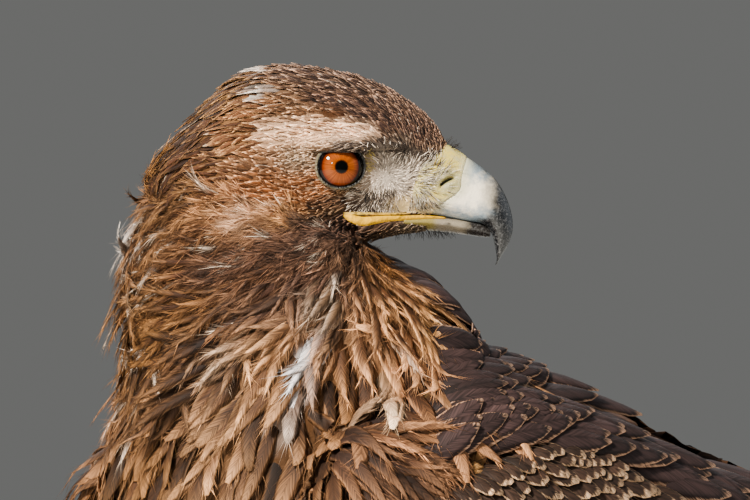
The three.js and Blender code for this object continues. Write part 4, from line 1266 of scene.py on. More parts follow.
def surfaced(places, outs):
    """Places brought out to the skin's outer surface, where one form's skin lies under another's."""
    for k, (place, out) in enumerate(zip(places, outs)):
        spot, normal, index, _ = skin_finder.ray_cast(place + out * COVER, -out, COVER - 0.2 * MM)
        if spot is not None and np.dot(normal, out) > 0:
            places[k] = spot
            outs[k] = skin_outs[skin_faces[index]].mean(0)
    return places, unit(outs)


def midlines(roots, headings, lengths, rows, curl=0.0):
    """Walks feathers over the skin: places and outward directions at each row from root to tip. Curl
    turns each feather sideways at every row."""
    place, out = nearest(roots)
    places, outs = [place], [out]
    heading = headings
    curl = np.broadcast_to(curl, len(roots))[:, None]
    for _ in range(rows):
        heading = unit(heading - out * (heading * out).sum(-1, keepdims=True))
        heading = heading * np.cos(curl) + np.cross(out, heading) * np.sin(curl)
        place, out = surfaced(*nearest(place + heading * (lengths[:, None] / rows)))
        places.append(place)
        outs.append(out)
    places, outs = np.stack(places, 1), np.stack(outs, 1)
    outs[:, 1:-1] = unit(outs[:, :-2] + 2 * outs[:, 1:-1] + outs[:, 2:])
    return places, outs


BLADE_FORM = {"sink": 1.5, "cup": 0.25, "roll": 0.0, "thick": 0.25, "ribs": 3, "notch": 0.12, "over": 0}


def blades(places, outs, width, shape, lift, rng, **form):
    """Feathers as thin closed blades along their midlines. Lift raises the tip off the skin, sink beds
    the root, cup bends the edges down, roll tips one edge up, and notch frays the edges."""
    form = {**BLADE_FORM, **form}
    count, rows = places.shape[0], places.shape[1] - 1
    along = unit(np.gradient(places, axis=1))
    sides = unit(np.cross(along, outs))
    u = np.linspace(0, 1, rows + 1)[None, :, None]
    across = np.linspace(-1, 1, form["ribs"])
    half = (width[:, None] / 2 * np.array(shape))[:, :, None] * np.ones(form["ribs"])
    frays = 1 - form["notch"] * rng.random(half.shape) * (np.abs(across) > 0.9) * (u > 0.25)
    half = half * frays
    roll = np.broadcast_to(form["roll"], count)[:, None, None]
    over, sink = (np.broadcast_to(form[key], count)[:, None, None] * MM for key in ("over", "sink"))
    height = lift[:, None, None] * u - sink * (1 - u) ** 2 + over * (1 - (1 - u) ** 3)
    height = height + half * (roll * across - form["cup"] * across**2)
    top = places[:, :, None] + sides[:, :, None] * (half * across)[..., None]
    top = top + outs[:, :, None] * height[..., None]
    low = places + outs * (height[:, :, form["ribs"] // 2, None] - form["thick"] * MM)
    rings = np.concatenate([top, low[:, :, None]], 2)
    length = np.linalg.norm(np.diff(places, axis=1), axis=2).sum(1) / MM
    chance = rng.random(count)
    c = np.append(across, 0.0)[None, None, :] * np.ones((count, rows + 1, 1))
    spot = np.broadcast_to(u, c.shape)
    chances = np.broadcast_to(chance[:, None, None], c.shape)
    wide = np.concatenate([half, half[:, :, :1]], 2) / MM
    vane = np.stack([c, spot, chances], -1)
    barb = np.stack([np.abs(c) * wide, spot * length[:, None, None], chances * 40], -1)
    return {"rings": rings, "vane": vane, "barb": barb, "roots": places[:, 0]}


BARB = {"inward": 0.95, "proud": 0.05, "stray": 0.12, "droop": 0.1, "tone": 0.4}


def barbed(made, rng, per, length, spread, radius=0.13):
    """Adds loose barbs to feathers: thin spikes that leave the edges of the blade at a slant."""
    rings = made["rings"]
    count, rows, around = rings.shape[:3]
    feather = np.repeat(np.arange(count), per)
    row = rng.integers(rows // 3, rows - 1, len(feather))
    edge = np.where(rng.random(len(feather)) < 0.5, 0, around - 2)
    middle = (around - 2) // 2
    part = rng.random((len(feather), 1))
    start = rings[feather, row, edge] * (1 - part) + rings[feather, row + 1, edge] * part
    shaft = rings[feather, row, middle] * (1 - part) + rings[feather, row + 1, middle] * part
    along = unit(rings[feather, row + 1, middle] - rings[feather, row, middle])
    side = unit(start - shaft)
    inward = BARB["inward"] * rng.random((len(feather), 1))
    start = start * (1 - inward) + shaft * inward
    out = unit(np.cross(along, side)) * np.where(edge == 0, -1, 1)[:, None]
    start = start + out * BARB["proud"] * MM
    angle = np.radians(rng.uniform(*spread, (len(feather), 1)))
    stray = BARB["stray"] * rng.normal(size=side.shape)
    way = unit(along * np.cos(angle) + side * np.sin(angle) + stray)
    reach = rng.uniform(0.5, 1.2, (len(feather), 1)) * length * MM
    r = radius * MM
    tip = start + way * reach + out * BARB["droop"] * reach * rng.random((len(feather), 1))
    made["spikes"] = np.stack([start - side * r, start + side * r, start + out * r, tip], 1)
    u = (row[:, None] + part) / (rows - 1)
    c = np.where(edge == 0, -0.95, 0.95)[:, None] * (1 - inward)
    vane = np.concatenate([c, u, made["vane"][feather, 0, 0, 2:]], -1)
    made["spike_vane"] = np.repeat(vane[:, None], 4, 1)
    made["spike_barb"] = np.repeat(made["barb"][feather, row, edge][:, None], 4, 1)
    made["spike_feather"] = feather
    made["spike_tone"] = rng.lognormal(0, BARB["tone"], (len(feather), 1))
    return made


def about(axis, start, zero):
    """An unwrap of a round form: the turn about its axis and the way along it."""

    def unwrap(points):
        away = points - start
        rest = np.cross(axis, zero)
        return np.stack([np.arctan2(away @ rest, away @ zero), away @ axis], -1)

    return unwrap


BAKE_PATCH = 0.003


def coat(name, sets, unwrap, look):
    """One piece of many feathers, with their colours, and a map with a patch for each at its root."""
    points, faces, vanes, barbs, centres, fringes, places = [], [], [], [], [], [], []
    threes = [np.empty((0, 3), int)]
    spread = unwrap(np.concatenate([feathers["roots"] for feathers in sets]))
    lowest, size = spread.min(0), np.ptp(spread, axis=0)
    # Roots in one row have no height on the map, and dividing by it would leave no number there.
    size[size < 1e-9] = 1
    first = 0
    for feathers in sets:
        count, rings, around = feathers["rings"].shape[:3]
        one, _ = ring_faces(rings - 1, around)
        ends = np.array([(k, k + 1, k + 2, around - 1) for k in range(0, around - 2, 2)])
        one = np.concatenate([one, ends[:, ::-1], ends + (rings - 1) * around])
        offsets = first + np.arange(count)[:, None, None] * rings * around
        faces.append((one[None] + offsets).reshape(-1, 4))
        points.append(feathers["rings"].reshape(-1, 3))
        vanes.append(feathers["vane"].reshape(-1, 3))
        barbs.append(feathers["barb"].reshape(-1, 3))
        centres.append(np.repeat(feathers["centre"], rings * around, 0))
        fringes.append(np.repeat(feathers["fringe"], rings * around, 0))
        base = (unwrap(feathers["roots"]) - lowest) / size
        places.append(np.repeat(base, rings * around, 0))
        first += count * rings * around
        if "spikes" in feathers:
            of = np.repeat(feathers["spike_feather"], 4)
            sides = np.array([(1, 0, 3), (2, 1, 3), (0, 2, 3), (0, 1, 2)])
            offsets = first + 4 * np.arange(len(feathers["spikes"]))[:, None, None]
            threes.append((sides[None] + offsets).reshape(-1, 3))
            points.append(feathers["spikes"].reshape(-1, 3))
            vanes.append(feathers["spike_vane"].reshape(-1, 3))
            barbs.append(feathers["spike_barb"].reshape(-1, 3))
            tone = np.repeat(feathers["spike_tone"], 4, 0)
            centres.append(feathers["centre"][of] * tone)
            fringes.append(feathers["fringe"][of] * tone)
            places.append(base[of])
            first += len(of)
    made = piece(name, np.concatenate(points), np.concatenate(faces), np.concatenate(threes))
    vanes, places = np.concatenate(vanes), np.concatenate(places)
    told(made, "vane", vanes)
    told(made, "barb", np.concatenate(barbs))
    tinted(made, "centre", np.concatenate(centres))
    tinted(made, "fringe", np.concatenate(fringes))
    patch = places * (1 - BAKE_PATCH) + BAKE_PATCH * np.stack([vanes[:, 0] / 2 + 0.5, vanes[:, 1]], -1)
    corners = np.empty(len(made.data.loops), np.int32)
    made.data.loops.foreach_get("vertex_index", corners)
    layer = made.data.uv_layers.new(name="OFBake")
    layer.data.foreach_set("uv", patch[corners].astype(np.float32).ravel())
    made.data.materials.append(look)
    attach(made, "root")
    return made


FEATHER_TOLD = ["vane", "barb", "centre", "fringe"]


def feather_look(name, edge_from, edge_to, barb_gap, shaft=0.6, bars=0.0, root=0.3, tip=4):
    """Barbs as fine streaks that leave the shaft at a slant, a fringe of its own colour, and a dark root,
    partly the grey down there and partly painted shade under the feathers that lie over it.
    """

    def build(tree, shader):
        told_of = {word: add(tree, "Attribute", attribute_name=word) for word in FEATHER_TOLD}
        vane = add(tree, "SeparateXYZ", [told_of["vane"].outputs["Vector"]]).outputs
        barb = add(tree, "SeparateXYZ", [told_of["barb"].outputs["Vector"]]).outputs
        across = add(tree, "Math", (vane["X"], 0.0), operation="ABSOLUTE").outputs[0]
        drop = add(tree, "Math", (barb["X"], 2.0), operation="MULTIPLY").outputs[0]
        slant = add(tree, "Math", (barb["Y"], drop), operation="SUBTRACT").outputs[0]
        slant = add(tree, "Math", (slant, barb_gap), operation="DIVIDE").outputs[0]
        drift = add(tree, "Math", (barb["X"], 0.15), operation="MULTIPLY").outputs[0]
        lines = add(tree, "CombineXYZ", (slant, drift, barb["Z"])).outputs[0]
        streaks = add(tree, "TexNoise", {"Vector": lines, "Scale": 1.0, "Detail": 2}).outputs["Fac"]
        beside = add(tree, "Math", (across, 2), operation="POWER").outputs[0]
        beyond = add(tree, "Math", (vane["Y"], tip), operation="POWER").outputs[0]
        edge = add(tree, "Math", (beside, beyond), operation="MAXIMUM").outputs[0]
        fray = add(tree, "Math", (streaks, 0.5), operation="SUBTRACT").outputs[0]
        fray = add(tree, "Math", (fray, 0.5), operation="MULTIPLY").outputs[0]
        edge = add(tree, "Math", (edge, fray), operation="ADD").outputs[0]
        slopes = [
            (edge, edge_from, edge_to, 0.0, 1.0),
            (streaks, 0.33, 0.67, 0.5, 1.45),
            # Darker towards the root: partly grey down, partly painted shade under overlapping feathers.
            (vane["Y"], 0.0, 0.5, root, 1.08),
            (across, 0.02, 0.16, shaft, 1.0),
        ]
        if bars:
            wave = add(tree, "Math", (barb["Y"], 2 * math.pi / bars), operation="MULTIPLY").outputs[0]
            wave = add(tree, "Math", (wave, 0.0), operation="SINE").outputs[0]
            slopes.append((wave, -0.5, 0.5, 0.72, 1.3))
        slopes = [add(tree, "MapRange", feeds, interpolation_type="SMOOTHSTEP") for feeds in slopes]
        mask, shade, *shades = [slope.outputs["Result"] for slope in slopes]
        for other in shades:
            shade = add(tree, "Math", (shade, other), operation="MULTIPLY").outputs[0]
        feeds = {0: mask, 6: told_of["centre"].outputs["Color"], 7: told_of["fringe"].outputs["Color"]}
        colour = add(tree, "Mix", feeds, data_type="RGBA").outputs[2]
        tint = add(tree, "VectorMath", {0: colour, "Scale": shade}, operation="SCALE")
        tree.links.new(tint.outputs["Vector"], shader.inputs["Base Color"])
        raised = add(tree, "Bump", {"Height": streaks, "Distance": 0.0004, "Strength": 0.6})
        tree.links.new(raised.outputs["Normal"], shader.inputs["Normal"])

    return painted(name, build, 0.7, Specular_IOR_Level=0.16)


def dressed(roots, rng, shape, jitter=0.14, notes=body_notes, **form):
    """Feathers that grow from some roots and lie as the notes say, each a little unlike the next."""
    lie = noted(roots, notes)[0]
    lie = unit(lie + jitter * rng.normal(size=(len(roots), 3)))
    return laid(roots, lie, rng, shape, notes, **form)


def laid(roots, lie, rng, shape, notes=body_notes, lift=0.13, tips=0.03, slim=1.0, **form):
    """Feathers that lie as told, with sizes and colours from the notes."""
    _, length, width, _, _ = noted(roots, notes)
    count = len(roots)
    length = length * rng.uniform(0.85, 1.2, count) * MM
    width = width * slim * rng.uniform(0.8, 1.2, count) * MM
    rows = len(BLADE[shape]) - 1
    places, outs = midlines(roots, lie, length, rows, 0.05 * rng.normal(size=count))
    shown = places[:, round(SHOWN * rows)]
    _, _, _, centre, fringe = noted(shown, notes)
    centre, fringe = marked(shown, centre, fringe) if notes is body_notes else (centre, fringe)
    rise = length * lift * rng.uniform(0.7, 1.35, count)
    roll = 0.25 * rng.normal(size=count)
    form = {"sink": BEDDING * length / MM, **form}
    made = blades(places, outs, width, BLADE[shape], rise, rng, roll=roll, **form)
    tone = rng.lognormal(-0.08, 0.28, (count, 1))
    made["centre"] = centre * tone
    made["fringe"] = fringe * tone ** 0.5 * rng.lognormal(0, 0.2, (count, 1))
    dull = rng.random(count) < 0.22
    made["centre"][dull] *= 0.55
    made["fringe"][dull] *= 0.5
    pale = rng.random(count) < tips
    made["fringe"][pale] = made["fringe"][pale] * 0.5 + 0.5 * hexed("#e4d2be")
    return made


def on_scalp(points):
    """Whether places are on the head, above the line where the nape's feathers begin."""
    seen = head_view(points)
    return (seen[:, 0] + 30) * 33 + (seen[:, 2] + 15) * 95 > 0


face_middles = skin_points[skin_faces].mean(1)
seen_middles = head_view(face_middles)
is_scalp = on_scalp(face_middles) & (skin_faces[:, 0] < scalp_end)
LORE = {"ahead": 19, "up": -4, "reach": (10, 37), "rise": (-17, 9)}
below_eye = (seen_middles[:, 2] < -7.5) & (seen_middles[:, 0] > 5)
is_front = (seen_middles[:, 0] > LORE["reach"][0]) | below_eye
is_lore = is_scalp & is_front & (seen_middles[:, 0] < LORE["reach"][1])
is_lore &= seen_middles[:, 2] < LORE["rise"][1] - 0.4 * np.maximum(seen_middles[:, 0] - 24, 0)
is_lore &= seen_middles[:, 2] > LORE["rise"][0]
is_upper = seen_middles[:, 2] > 6
head_unwrap = about(AHEAD, on_head(-10, 0, 0), UP)
small_look = feather_look("face_feather_barbs", 0.3, 0.95, 0.7)
for name, wanted, seed in (
    ("crown_feathers", is_scalp & is_upper & ~is_lore, 11),
    ("cheek_feathers", is_scalp & ~is_upper & ~is_lore, 12),
):
    rng = np.random.default_rng(seed)
    small = dressed(strewn(wanted, 0.36, seed), rng, "lance", slim=0.72)
    coat(name, [small], head_unwrap, small_look)

# Between the eye and the bill the face has only short stiff bristles, which part from one whorl. They
# are feathers without a vane, each one thin spike of horn bedded in the skin.
BLADE["bristle"] = [1.0, 0.9, 0.6, 0.08]
bristle_look = feather_look("bristle_horn", 0.3, 0.95, 0.7, shaft=1.0, root=0.75)
PATCH = {"ahead": (23, 38), "up": (-18, -11)}
lore_roots = strewn(is_lore, 0.165, 13)
seen = head_view(lore_roots)
bare = (seen[:, 0] > PATCH["ahead"][0]) & (seen[:, 2] < PATCH["up"][1])
lore_roots, seen = lore_roots[~bare], seen[~bare]
rng = np.random.default_rng(13)


def whorled(seen, rng):
    """Headings of bristles that part from the whorl, bend forwards and up before it, and never lie quite
    alike, with their lengths."""
    away = seen[:, [0, 2]] - (LORE["ahead"], LORE["up"])
    far = np.linalg.norm(away, axis=1)
    bend = 0.45 * np.sin(0.5 * seen[:, 0] + 0.8) + 0.4 * np.sin(0.7 * seen[:, 2])
    bend = bend + 0.22 * rng.normal(size=len(seen))
    turn = np.arctan2(away[:, 1], away[:, 0]) + bend
    turn += 0.5 * np.clip((seen[:, 0] - 24) / 12, 0, 1) * np.clip((seen[:, 2] + 9) / 6, -0.6, 1)
    headings = np.cos(turn)[:, None] * AHEAD + np.sin(turn)[:, None] * UP
    lengths = np.clip(1.5 + 0.16 * far, 1.5, 4.6) * rng.uniform(0.7, 1.3, len(seen)) * MM
    return headings, lengths


def toned(made, rng, pale=("#e6d3bf", "#fcefe0"), dark=0.27):
    """Gives bristles their colours: most are pale, a share are dark, and all those under the brow are dark
    as painted shadow.
    """
    count = len(made["roots"])
    tone = rng.lognormal(0, 0.35, (count, 1))
    made["centre"], made["fringe"] = hexed(pale[0]) * tone, hexed(pale[1]) * tone
    seen = head_view(made["roots"])
    # Bristles along the brow's lower edge are painted dark as the brow's shadow.
    under = np.abs(seen[:, 2] - 6.4) - 1.3 * (seen[:, 0] > -8) * (seen[:, 0] < 18)
    by_forehead = 0.45 * (seen[:, 0] > 24) * np.clip(seen[:, 2] / 3, 0, 1)
    by_forehead += 0.6 * np.clip((seen[:, 2] - 4.5) / 2, 0, 1)
    is_dark = (rng.random(count) < dark + by_forehead) | (under < 0)
    made["centre"][is_dark] = hexed("#2c2420")
    made["fringe"][is_dark] = hexed("#5e5046")
    by_eye = np.hypot((seen[:, 0] - 12.9) / 2.4, (seen[:, 2] - 1.8) / 4.2) < 1
    made["centre"][by_eye] = hexed("#a8924a")
    made["fringe"][by_eye] = hexed("#cdb76a")
    return made


def straight(roots, headings, lengths):
    """Places along straight bristles, at each row of their blade."""
    steps = np.linspace(0, 1, len(BLADE["bristle"]))[None, :, None]
    return roots[:, None] + headings[:, None] * lengths[:, None, None] * steps


headings, lengths = whorled(seen, rng)
lines = midlines(lore_roots, headings, lengths, 3)
rise = lengths * rng.uniform(0.1, 0.4, len(headings))
thin = np.full(len(headings), 0.3 * MM)
bristles = blades(*lines, thin, BLADE["bristle"], rise, rng, sink=0.5, thick=0.12)
bristles = toned(bristles, rng)

# They go on over the back of the cere, ever fewer towards the nostril.
start, beside = pressed[:-1], np.roll(pressed, -1, 1)[:-1]
spots = start + rng.random((*start.shape[:2], 1)) * (beside - start)
spots = spots + rng.random((*start.shape[:2], 1)) * (pressed[1:] - start)
outs = unit(np.cross(beside - start, pressed[1:] - start))
outs = outs * np.sign(np.sum(outs * (start - start.mean(1, keepdims=True)), -1, keepdims=True))
seen = head_view(spots)
chance = np.clip((47 - seen[..., 0]) / 12 - np.abs(seen[..., 2] + 3) / 20, 0, 1)
chance *= (seen[..., 2] < 5) & (seen[..., 2] > -15)
run, off = from_slit(seen)
chance *= (run < -8) | (run > 4) | (np.abs(off) > 1.7)
chosen = rng.random(chance.shape) < 0.5 * chance
spots, outs, seen = spots[chosen], outs[chosen], seen[chosen]
headings, lengths = whorled(seen, rng)
headings = unit(headings - outs * (headings * outs).sum(-1, keepdims=True))
lines = straight(spots, headings, lengths)
rise = lengths * rng.uniform(0.1, 0.3, len(headings))
outs = np.repeat(outs[:, None], 4, 1)
thin = np.full(len(spots), 0.26 * MM)
whiskers = blades(lines, outs, thin, BLADE["bristle"], rise, rng, sink=0.4, thick=0.1)
whiskers = toned(whiskers, rng, ("#aaa08c", "#efe5d2"), 0.35)
coat("lore_bristles", [bristles, whiskers], head_unwrap, bristle_look)

# Fine black hairs stand out over the cere's root, under the chin and over the corner of the mouth. Each
# is a straight thread of horn, too stiff to lie along the skin.
# [start, end, how far to each side, heading at the start and at the end, length, count], on the head.
HAIRS = [
    [[42, 11], [46, 8], 6, [0.75, 0.65], [0.9, 0.45], 3.6, 40],
    [[22, -25.5], [46, -24.6], 7, [0.25, -0.95], [0.45, -0.9], 3.2, 110],
]
# [start, end, heading at the start and at the end, length, count], on each side of the head.
GAPE_HAIRS = [[13, -15.5], [28, -15.2], [0.15, -1], [0.3, -1], 5.2, 70]
roots, headings, lengths = [], [], []
rng = np.random.default_rng(14)
for start, end, reach, first, last, length, count in HAIRS:
    share = rng.random((count, 1))
    ahead, up = (np.array(start) * (1 - share) + np.array(end) * share).T
    left = rng.uniform(-reach, reach, count)
    roots.append(on_head(ahead, left, up - 0.02 * left**2 * np.sign(first[1])))
    way = np.array(first) * (1 - share) + np.array(last) * share + 0.25 * rng.normal(size=(count, 2))
    headings.append(way[:, :1] * AHEAD + 0.04 * left[:, None] * LEFT + way[:, 1:] * UP)
    lengths.append(length * rng.uniform(0.5, 1.2, count))
start, end, first, last, length, count = GAPE_HAIRS
for side in (1, -1):
    share = rng.random((count, 1))
    ahead, up = (np.array(start) * (1 - share) + np.array(end) * share).T
    roots.append(nearest(on_head(ahead, side * 30, up + rng.uniform(-1, 3, count)))[0])
    way = np.array(first) * (1 - share) + np.array(last) * share + 0.2 * rng.normal(size=(count, 2))
    headings.append(way[:, :1] * AHEAD + side * 0.3 * LEFT + way[:, 1:] * UP)
    lengths.append(length * rng.uniform(0.5, 1.2, count))
roots, headings = np.concatenate(roots), unit(np.concatenate(headings))
lengths = np.concatenate(lengths) * MM
lines = straight(roots, headings, lengths)
outs = unit(np.cross(headings, rng.normal(size=headings.shape)))
wide = np.full(len(roots), 0.2 * MM)
outs = np.repeat(outs[:, None], 4, 1)
hairs = blades(lines, outs, wide, BLADE["bristle"], 0 * wide, rng, sink=0, thick=0.1)
hairs["centre"] = np.tile(hexed("#1b1715"), (len(roots), 1))
hairs["fringe"] = np.tile(hexed("#2b2420"), (len(roots), 1))
coat("face_hairs", [hairs], head_unwrap, bristle_look)

# The neck's feathers are the golden pointed ones that name the bird. They hang loosely from the nape and
# the throat, each free at its tip, and in the turned neck they fan over one another.
body_middles = body_view(face_middles)
is_hide = skin_faces[:, 0] < scalp_end
NECK_END = {"forward": 50, "up": 474, "lean": (0.42, 0.9)}
above_end = (body_middles[:, 1] - NECK_END["forward"]) * NECK_END["lean"][0]
above_end += (body_middles[:, 2] - NECK_END["up"]) * NECK_END["lean"][1]
is_neck = is_hide & ~on_scalp(face_middles) & (above_end > 0)
# Tufts that stand up from the nape: ahead, up and reach on the head, and how steeply they rise.
TUFTS = [[-79, -18, 5, 0.38], [-80, -27, 4, 0.34], [-80, -42, 5, 0.42], [-80, -60, 5, 0.3]]
neck_unwrap = about(UP, on_head(-40, 0, -60), AHEAD)
hackle_look = feather_look("neck_feather_barbs", 0.15, 1.0, 0.6, shaft=0.8, root=0.4, tip=2.2)
is_nape, is_collar = seen_middles[:, 0] < -42, seen_middles[:, 2] < -62
for name, wanted, seed in (
    ("nape_hackles", is_neck & is_nape, 21),
    ("throat_hackles", is_neck & ~is_nape & ~is_collar, 22),
    ("collar_hackles", is_neck & ~is_nape & is_collar, 23),
):
    rng = np.random.default_rng(seed)
    roots = strewn(wanted, 0.245, seed)
    seen = head_view(roots)
    lift = 0.16 * rng.lognormal(0, 0.35, len(roots))
    for ahead, up, reach, rise in TUFTS:
        lift[np.hypot(seen[:, 0] - ahead, seen[:, 2] - up) < reach] = rise
    hackles = dressed(roots, rng, "hackle", jitter=0.22, lift=lift, slim=0.7, tips=0.05)
    hackles = barbed(hackles, rng, 41, 8.5, (6, 26))
    coat(name, [hackles], neck_unwrap, hackle_look)

# The body's feathers are the largest soft ones: broad, with loose edges, and longer under the tail. Each
# grows on a thin shaft, and its loose barbs blend it into those beside it.
is_body = is_hide & ~is_neck & ~on_scalp(face_middles) & (body_middles[:, 1] > -300)
is_leg = is_body & (body_middles[:, 2] < 240) & (body_middles[:, 1] > -200)
is_breast = is_body & ~is_leg & (body_middles[:, 1] > 0)
is_shoulder = ~is_hide & (body_middles[:, 1] > 28) & (body_middles[:, 2] > 395)
is_breast |= is_shoulder
body_unwrap = about(np.array([0, -1.0, 0]), on_body(0, 0, 370), UP)
soft_look = feather_look("body_feather_barbs", 0.15, 1.0, 0.6, shaft=0.8, root=0.4, tip=2.2)
for name, wanted, seed, share, slim, barbs in (
    ("breast_feathers", is_breast, 31, 0.3, 0.7, 42),
    ("back_and_belly_feathers", is_body & ~is_leg & ~is_breast, 32, 0.33, 0.75, 26),
):
    rng = np.random.default_rng(seed)
    roots = strewn(wanted, share, seed)
    plumes = dressed(roots, rng, "round", ribs=5, over=1.2, slim=slim, lift=0.12, notch=0.3)
    plumes = barbed(plumes, rng, barbs, 10, (6, 30))
    coat(name, [plumes], body_unwrap, soft_look)


# The legs are feathered down to the toes: long loose trousers over the thighs, short plush on the shanks.
# They lie like the body's feathers, but have no loose barbs.
def round_legs(points):
    left, forward, up = body_view(points).T
    turn = np.arctan2(np.abs(left) - FOOT["out"], forward + 95)
    return np.stack([turn + 7 * (left < 0), up / 60], -1)


rng = np.random.default_rng(41)
trousers = dressed(strewn(is_leg, 0.42, 41), rng, "hackle", over=0.5)
coat("leg_feathers", [trousers], round_legs, soft_look)

# The folded wing is tiled from its front edge back. Small coverts come first, each row longer than the
# one before, then the stiff secondaries and primaries. The scapulars of the shoulder lie over its top.
BLADE["covert"] = [0.5, 0.85, 0.98, 1.0, 1.0, 0.96, 0.8, 0.36]
BLADE["scapular"] = [0.5, 0.85, 1.0, 1.0, 0.95, 0.82, 0.56, 0.12]
BLADE["flight"] = [0.3, 0.5, 0.75, 0.9, 0.97, 1.0, 1.0, 1.0, 0.97, 0.85, 0.4]


def streamed(starts, distance, turn_from, turn_to, settle, step=0.004):
    """Points walked over the skin from a start line, with the headings reached there. The stream's angle
    below straight back changes from one to the other as it settles."""
    place, out = nearest(starts)
    steps = max(1, math.ceil(distance / step))
    for k in range(steps + 1):
        turn = np.radians(turn_to + (turn_from - turn_to) * math.exp(-k * distance / steps / settle))
        turn = turn * np.ones(len(starts))
        heading = np.stack([0 * turn, np.cos(turn), -np.sin(turn)], -1)
        heading = unit(heading - out * (heading * out).sum(-1, keepdims=True))
        if k < steps:
            place, out = nearest(place + heading * (distance / steps))
    return place, heading


def row_of(places, headings, gap, shift, rng):
    """Evenly spaced places along a line of them, each row shifted from the next by half a gap."""
    far = np.concatenate([[0], np.cumsum(np.linalg.norm(np.diff(places, axis=0), axis=1))])
    count = max(2, int(far[-1] / gap))
    spots = (np.arange(count) + 0.5 * shift + rng.uniform(-0.12, 0.12, count)) * far[-1] / count
    at = [np.stack([np.interp(spots, far, each[:, k]) for k in range(3)], -1) for each in (places, headings)]
    return at[0], unit(at[1])


# The lines that the rows of feathers start from, and how far behind them each row lies. The coverts' line
# has forward, up and the stream's turn, and the two of the shoulder have left, forward, up and turn.
COVERT_FRONT = [
    [78, 342, 25],
    [84, 365, 45],
    [85, 388, 65],
    [60, 412, 72],
    [34, 420, 62],
    [0, 433, 45],
    [-30, 443, 32],
    [-50, 447, 25],
]
COVERT_ROWS = [0, 6, 12, 19, 27, 36, 46, 58, 72, 88, 106, 126, 148]
SHOULDER_FRONT = [
    [52, 66, 444, 50],
    [66, 67, 434, 50],
    [78, 70, 422, 48],
    [86, 72, 408, 44],
    [90, 76, 394, 40],
]
SHOULDER_ROWS = [0, 7, 14, 21, 28]
SCAPULAR_FRONT = [
    [18, 24, 500, 22],
    [45, 20, 482, 20],
    [72, 22, 462, 8],
    [92, 30, 440, -15],
    [100, 44, 418, -36],
]
SCAPULAR_ROWS = [0, 9, 18, 28, 39, 51, 64, 78, 94, 112, 132, 154, 178]
# The wing's lining and the downy feathers of its front edge: left, forward, up, lie, size and colours.
WING_NOTES = [
    [98, 84, 390, 0.2, -0.75, -0.6, 14, 6, "#3a2312", "#8b623e"],
    [104, 30, 432, 0.05, -1, 0.3, 22, 9, "#462a15", "#996e3f"],
    [102, 86, 350, 0.1, -0.8, -0.6, 14, 6, "#302014", "#a67e51"],
    [108, 0, 440, 0, -1, 0.05, 26, 11, "#482b15", "#a97e4b"],
    [100, -120, 430, 0, -1, -0.15, 34, 14, "#231716", "#67442e"],
    [90, -250, 380, 0, -1, -0.35, 38, 15, "#1e1413", "#4d362b"],
    [60, -420, 280, 0, -1, -0.4, 38, 14, "#1c1312", "#443128"],
    [96, 40, 300, 0, -1, -0.2, 26, 10, "#3a2616", "#845f3e"],
    [104, -100, 278, 0, -1, -0.1, 34, 13, "#312017", "#6f4f31"],
    [92, -250, 258, 0, -1, -0.15, 38, 14, "#2e2018", "#644832"],
    [60, -430, 235, 0, -1, -0.2, 36, 13, "#241914", "#4f3d29"],
]


def quills(rows, side, rng):
    """The long feathers of a folded wing, from tables of their roots and tips on the wing's face."""
    made = []
    for count, tips, roots, width, length_share, over, layer, centre, fringe in rows:
        share = np.linspace(0, 1, count)[:, None]
        root, tip = (np.array(ends[:2]) * (1 - share) + np.array(ends[2:]) * share for ends in (roots, tips))
        root = tip + (root - tip) * length_share
        u = np.linspace(0, 1, len(BLADE["flight"]))[None, :, None]
        path = root[:, None] * (1 - u) + tip[:, None] * u
        forward, rise = path[..., 0], path[..., 1]
        places = wing_face(forward, rise, side)
        ahead = wing_face(forward + 1, rise, side) - places
        above = wing_face(forward, rise + 0.01, side) - places
        outs = unit(np.cross(above, ahead) * side)
        places = places + outs * (over + layer * np.arange(count))[:, None, None] * MM
        lift = np.full(count, 1.5 * MM)
        widths = np.full(count, width * MM)
        quill = blades(places, outs, widths, BLADE["flight"], lift, rng, **QUILL_FORM)
        tone = rng.lognormal(0, 0.17, (count, 1))
        quill["centre"] = hexed(centre) * tone
        quill["fringe"] = hexed(fringe) * tone
        made.append(quill)
    return made


QUILL_FORM = {"ribs": 5, "thick": 0.6, "cup": 0.1, "roll": -0.1, "notch": 0.04, "sink": 0}
# [count, tips, roots, width, length share, over, layer, centre, fringe], with tips and roots as the
# forward and rise of the lowest and of the highest feather.
QUILLS = [
    [7, [-512, 0.3, -430, 0.86], [-225, 0.16, -345, 0.84], 22, 1, 1.0, 0.45, "#221b1a", "#54443a"],
    [11, [-235, 0.1, -365, 0.9], [-90, 0.1, -236, 0.7], 30, 1, 2.2, 0.6, "#2b211e", "#7a6150"],
    [13, [-128, 0.09, -282, 0.74], [-46, 0.1, -176, 0.62], 24, 1, 5.6, 0.45, "#2e2320", "#8a6c56"],
]


def wing_unwrap(points):
    left, forward, up = body_view(points).T
    return np.stack([forward + 700 * (left < 0), up], -1)


# Length, width and height over the skin each have a start and what every millimetre back adds to it.
COVERTS = {
    "settle": (20, 0.07),
    "length": (13, 0.27),
    "width": (6.5, 0.1),
    "over": (7.2, -0.03),
    "gap": 0.62,
    "jitter": 0.09,
    "lift": 0.1,
    "blade": "covert",
    "thick": 0.35,
    "centre": "#291c15",
    "fringe": "#deb48d",
    "even": 0.4,
    "faded": 0.25,
}
SCAPULARS = {
    "settle": (18, 0.06),
    "length": (30, 0.27),
    "width": (12.5, 0.085),
    "over": (7, 0),
    "gap": 0.55,
    "jitter": 0.06,
    "lift": 0.07,
    "blade": "scapular",
    "thick": 0.4,
    "centre": "#2a1e1d",
    "fringe": "#bd9275",
    "even": 0.5,
    "faded": 0,
}


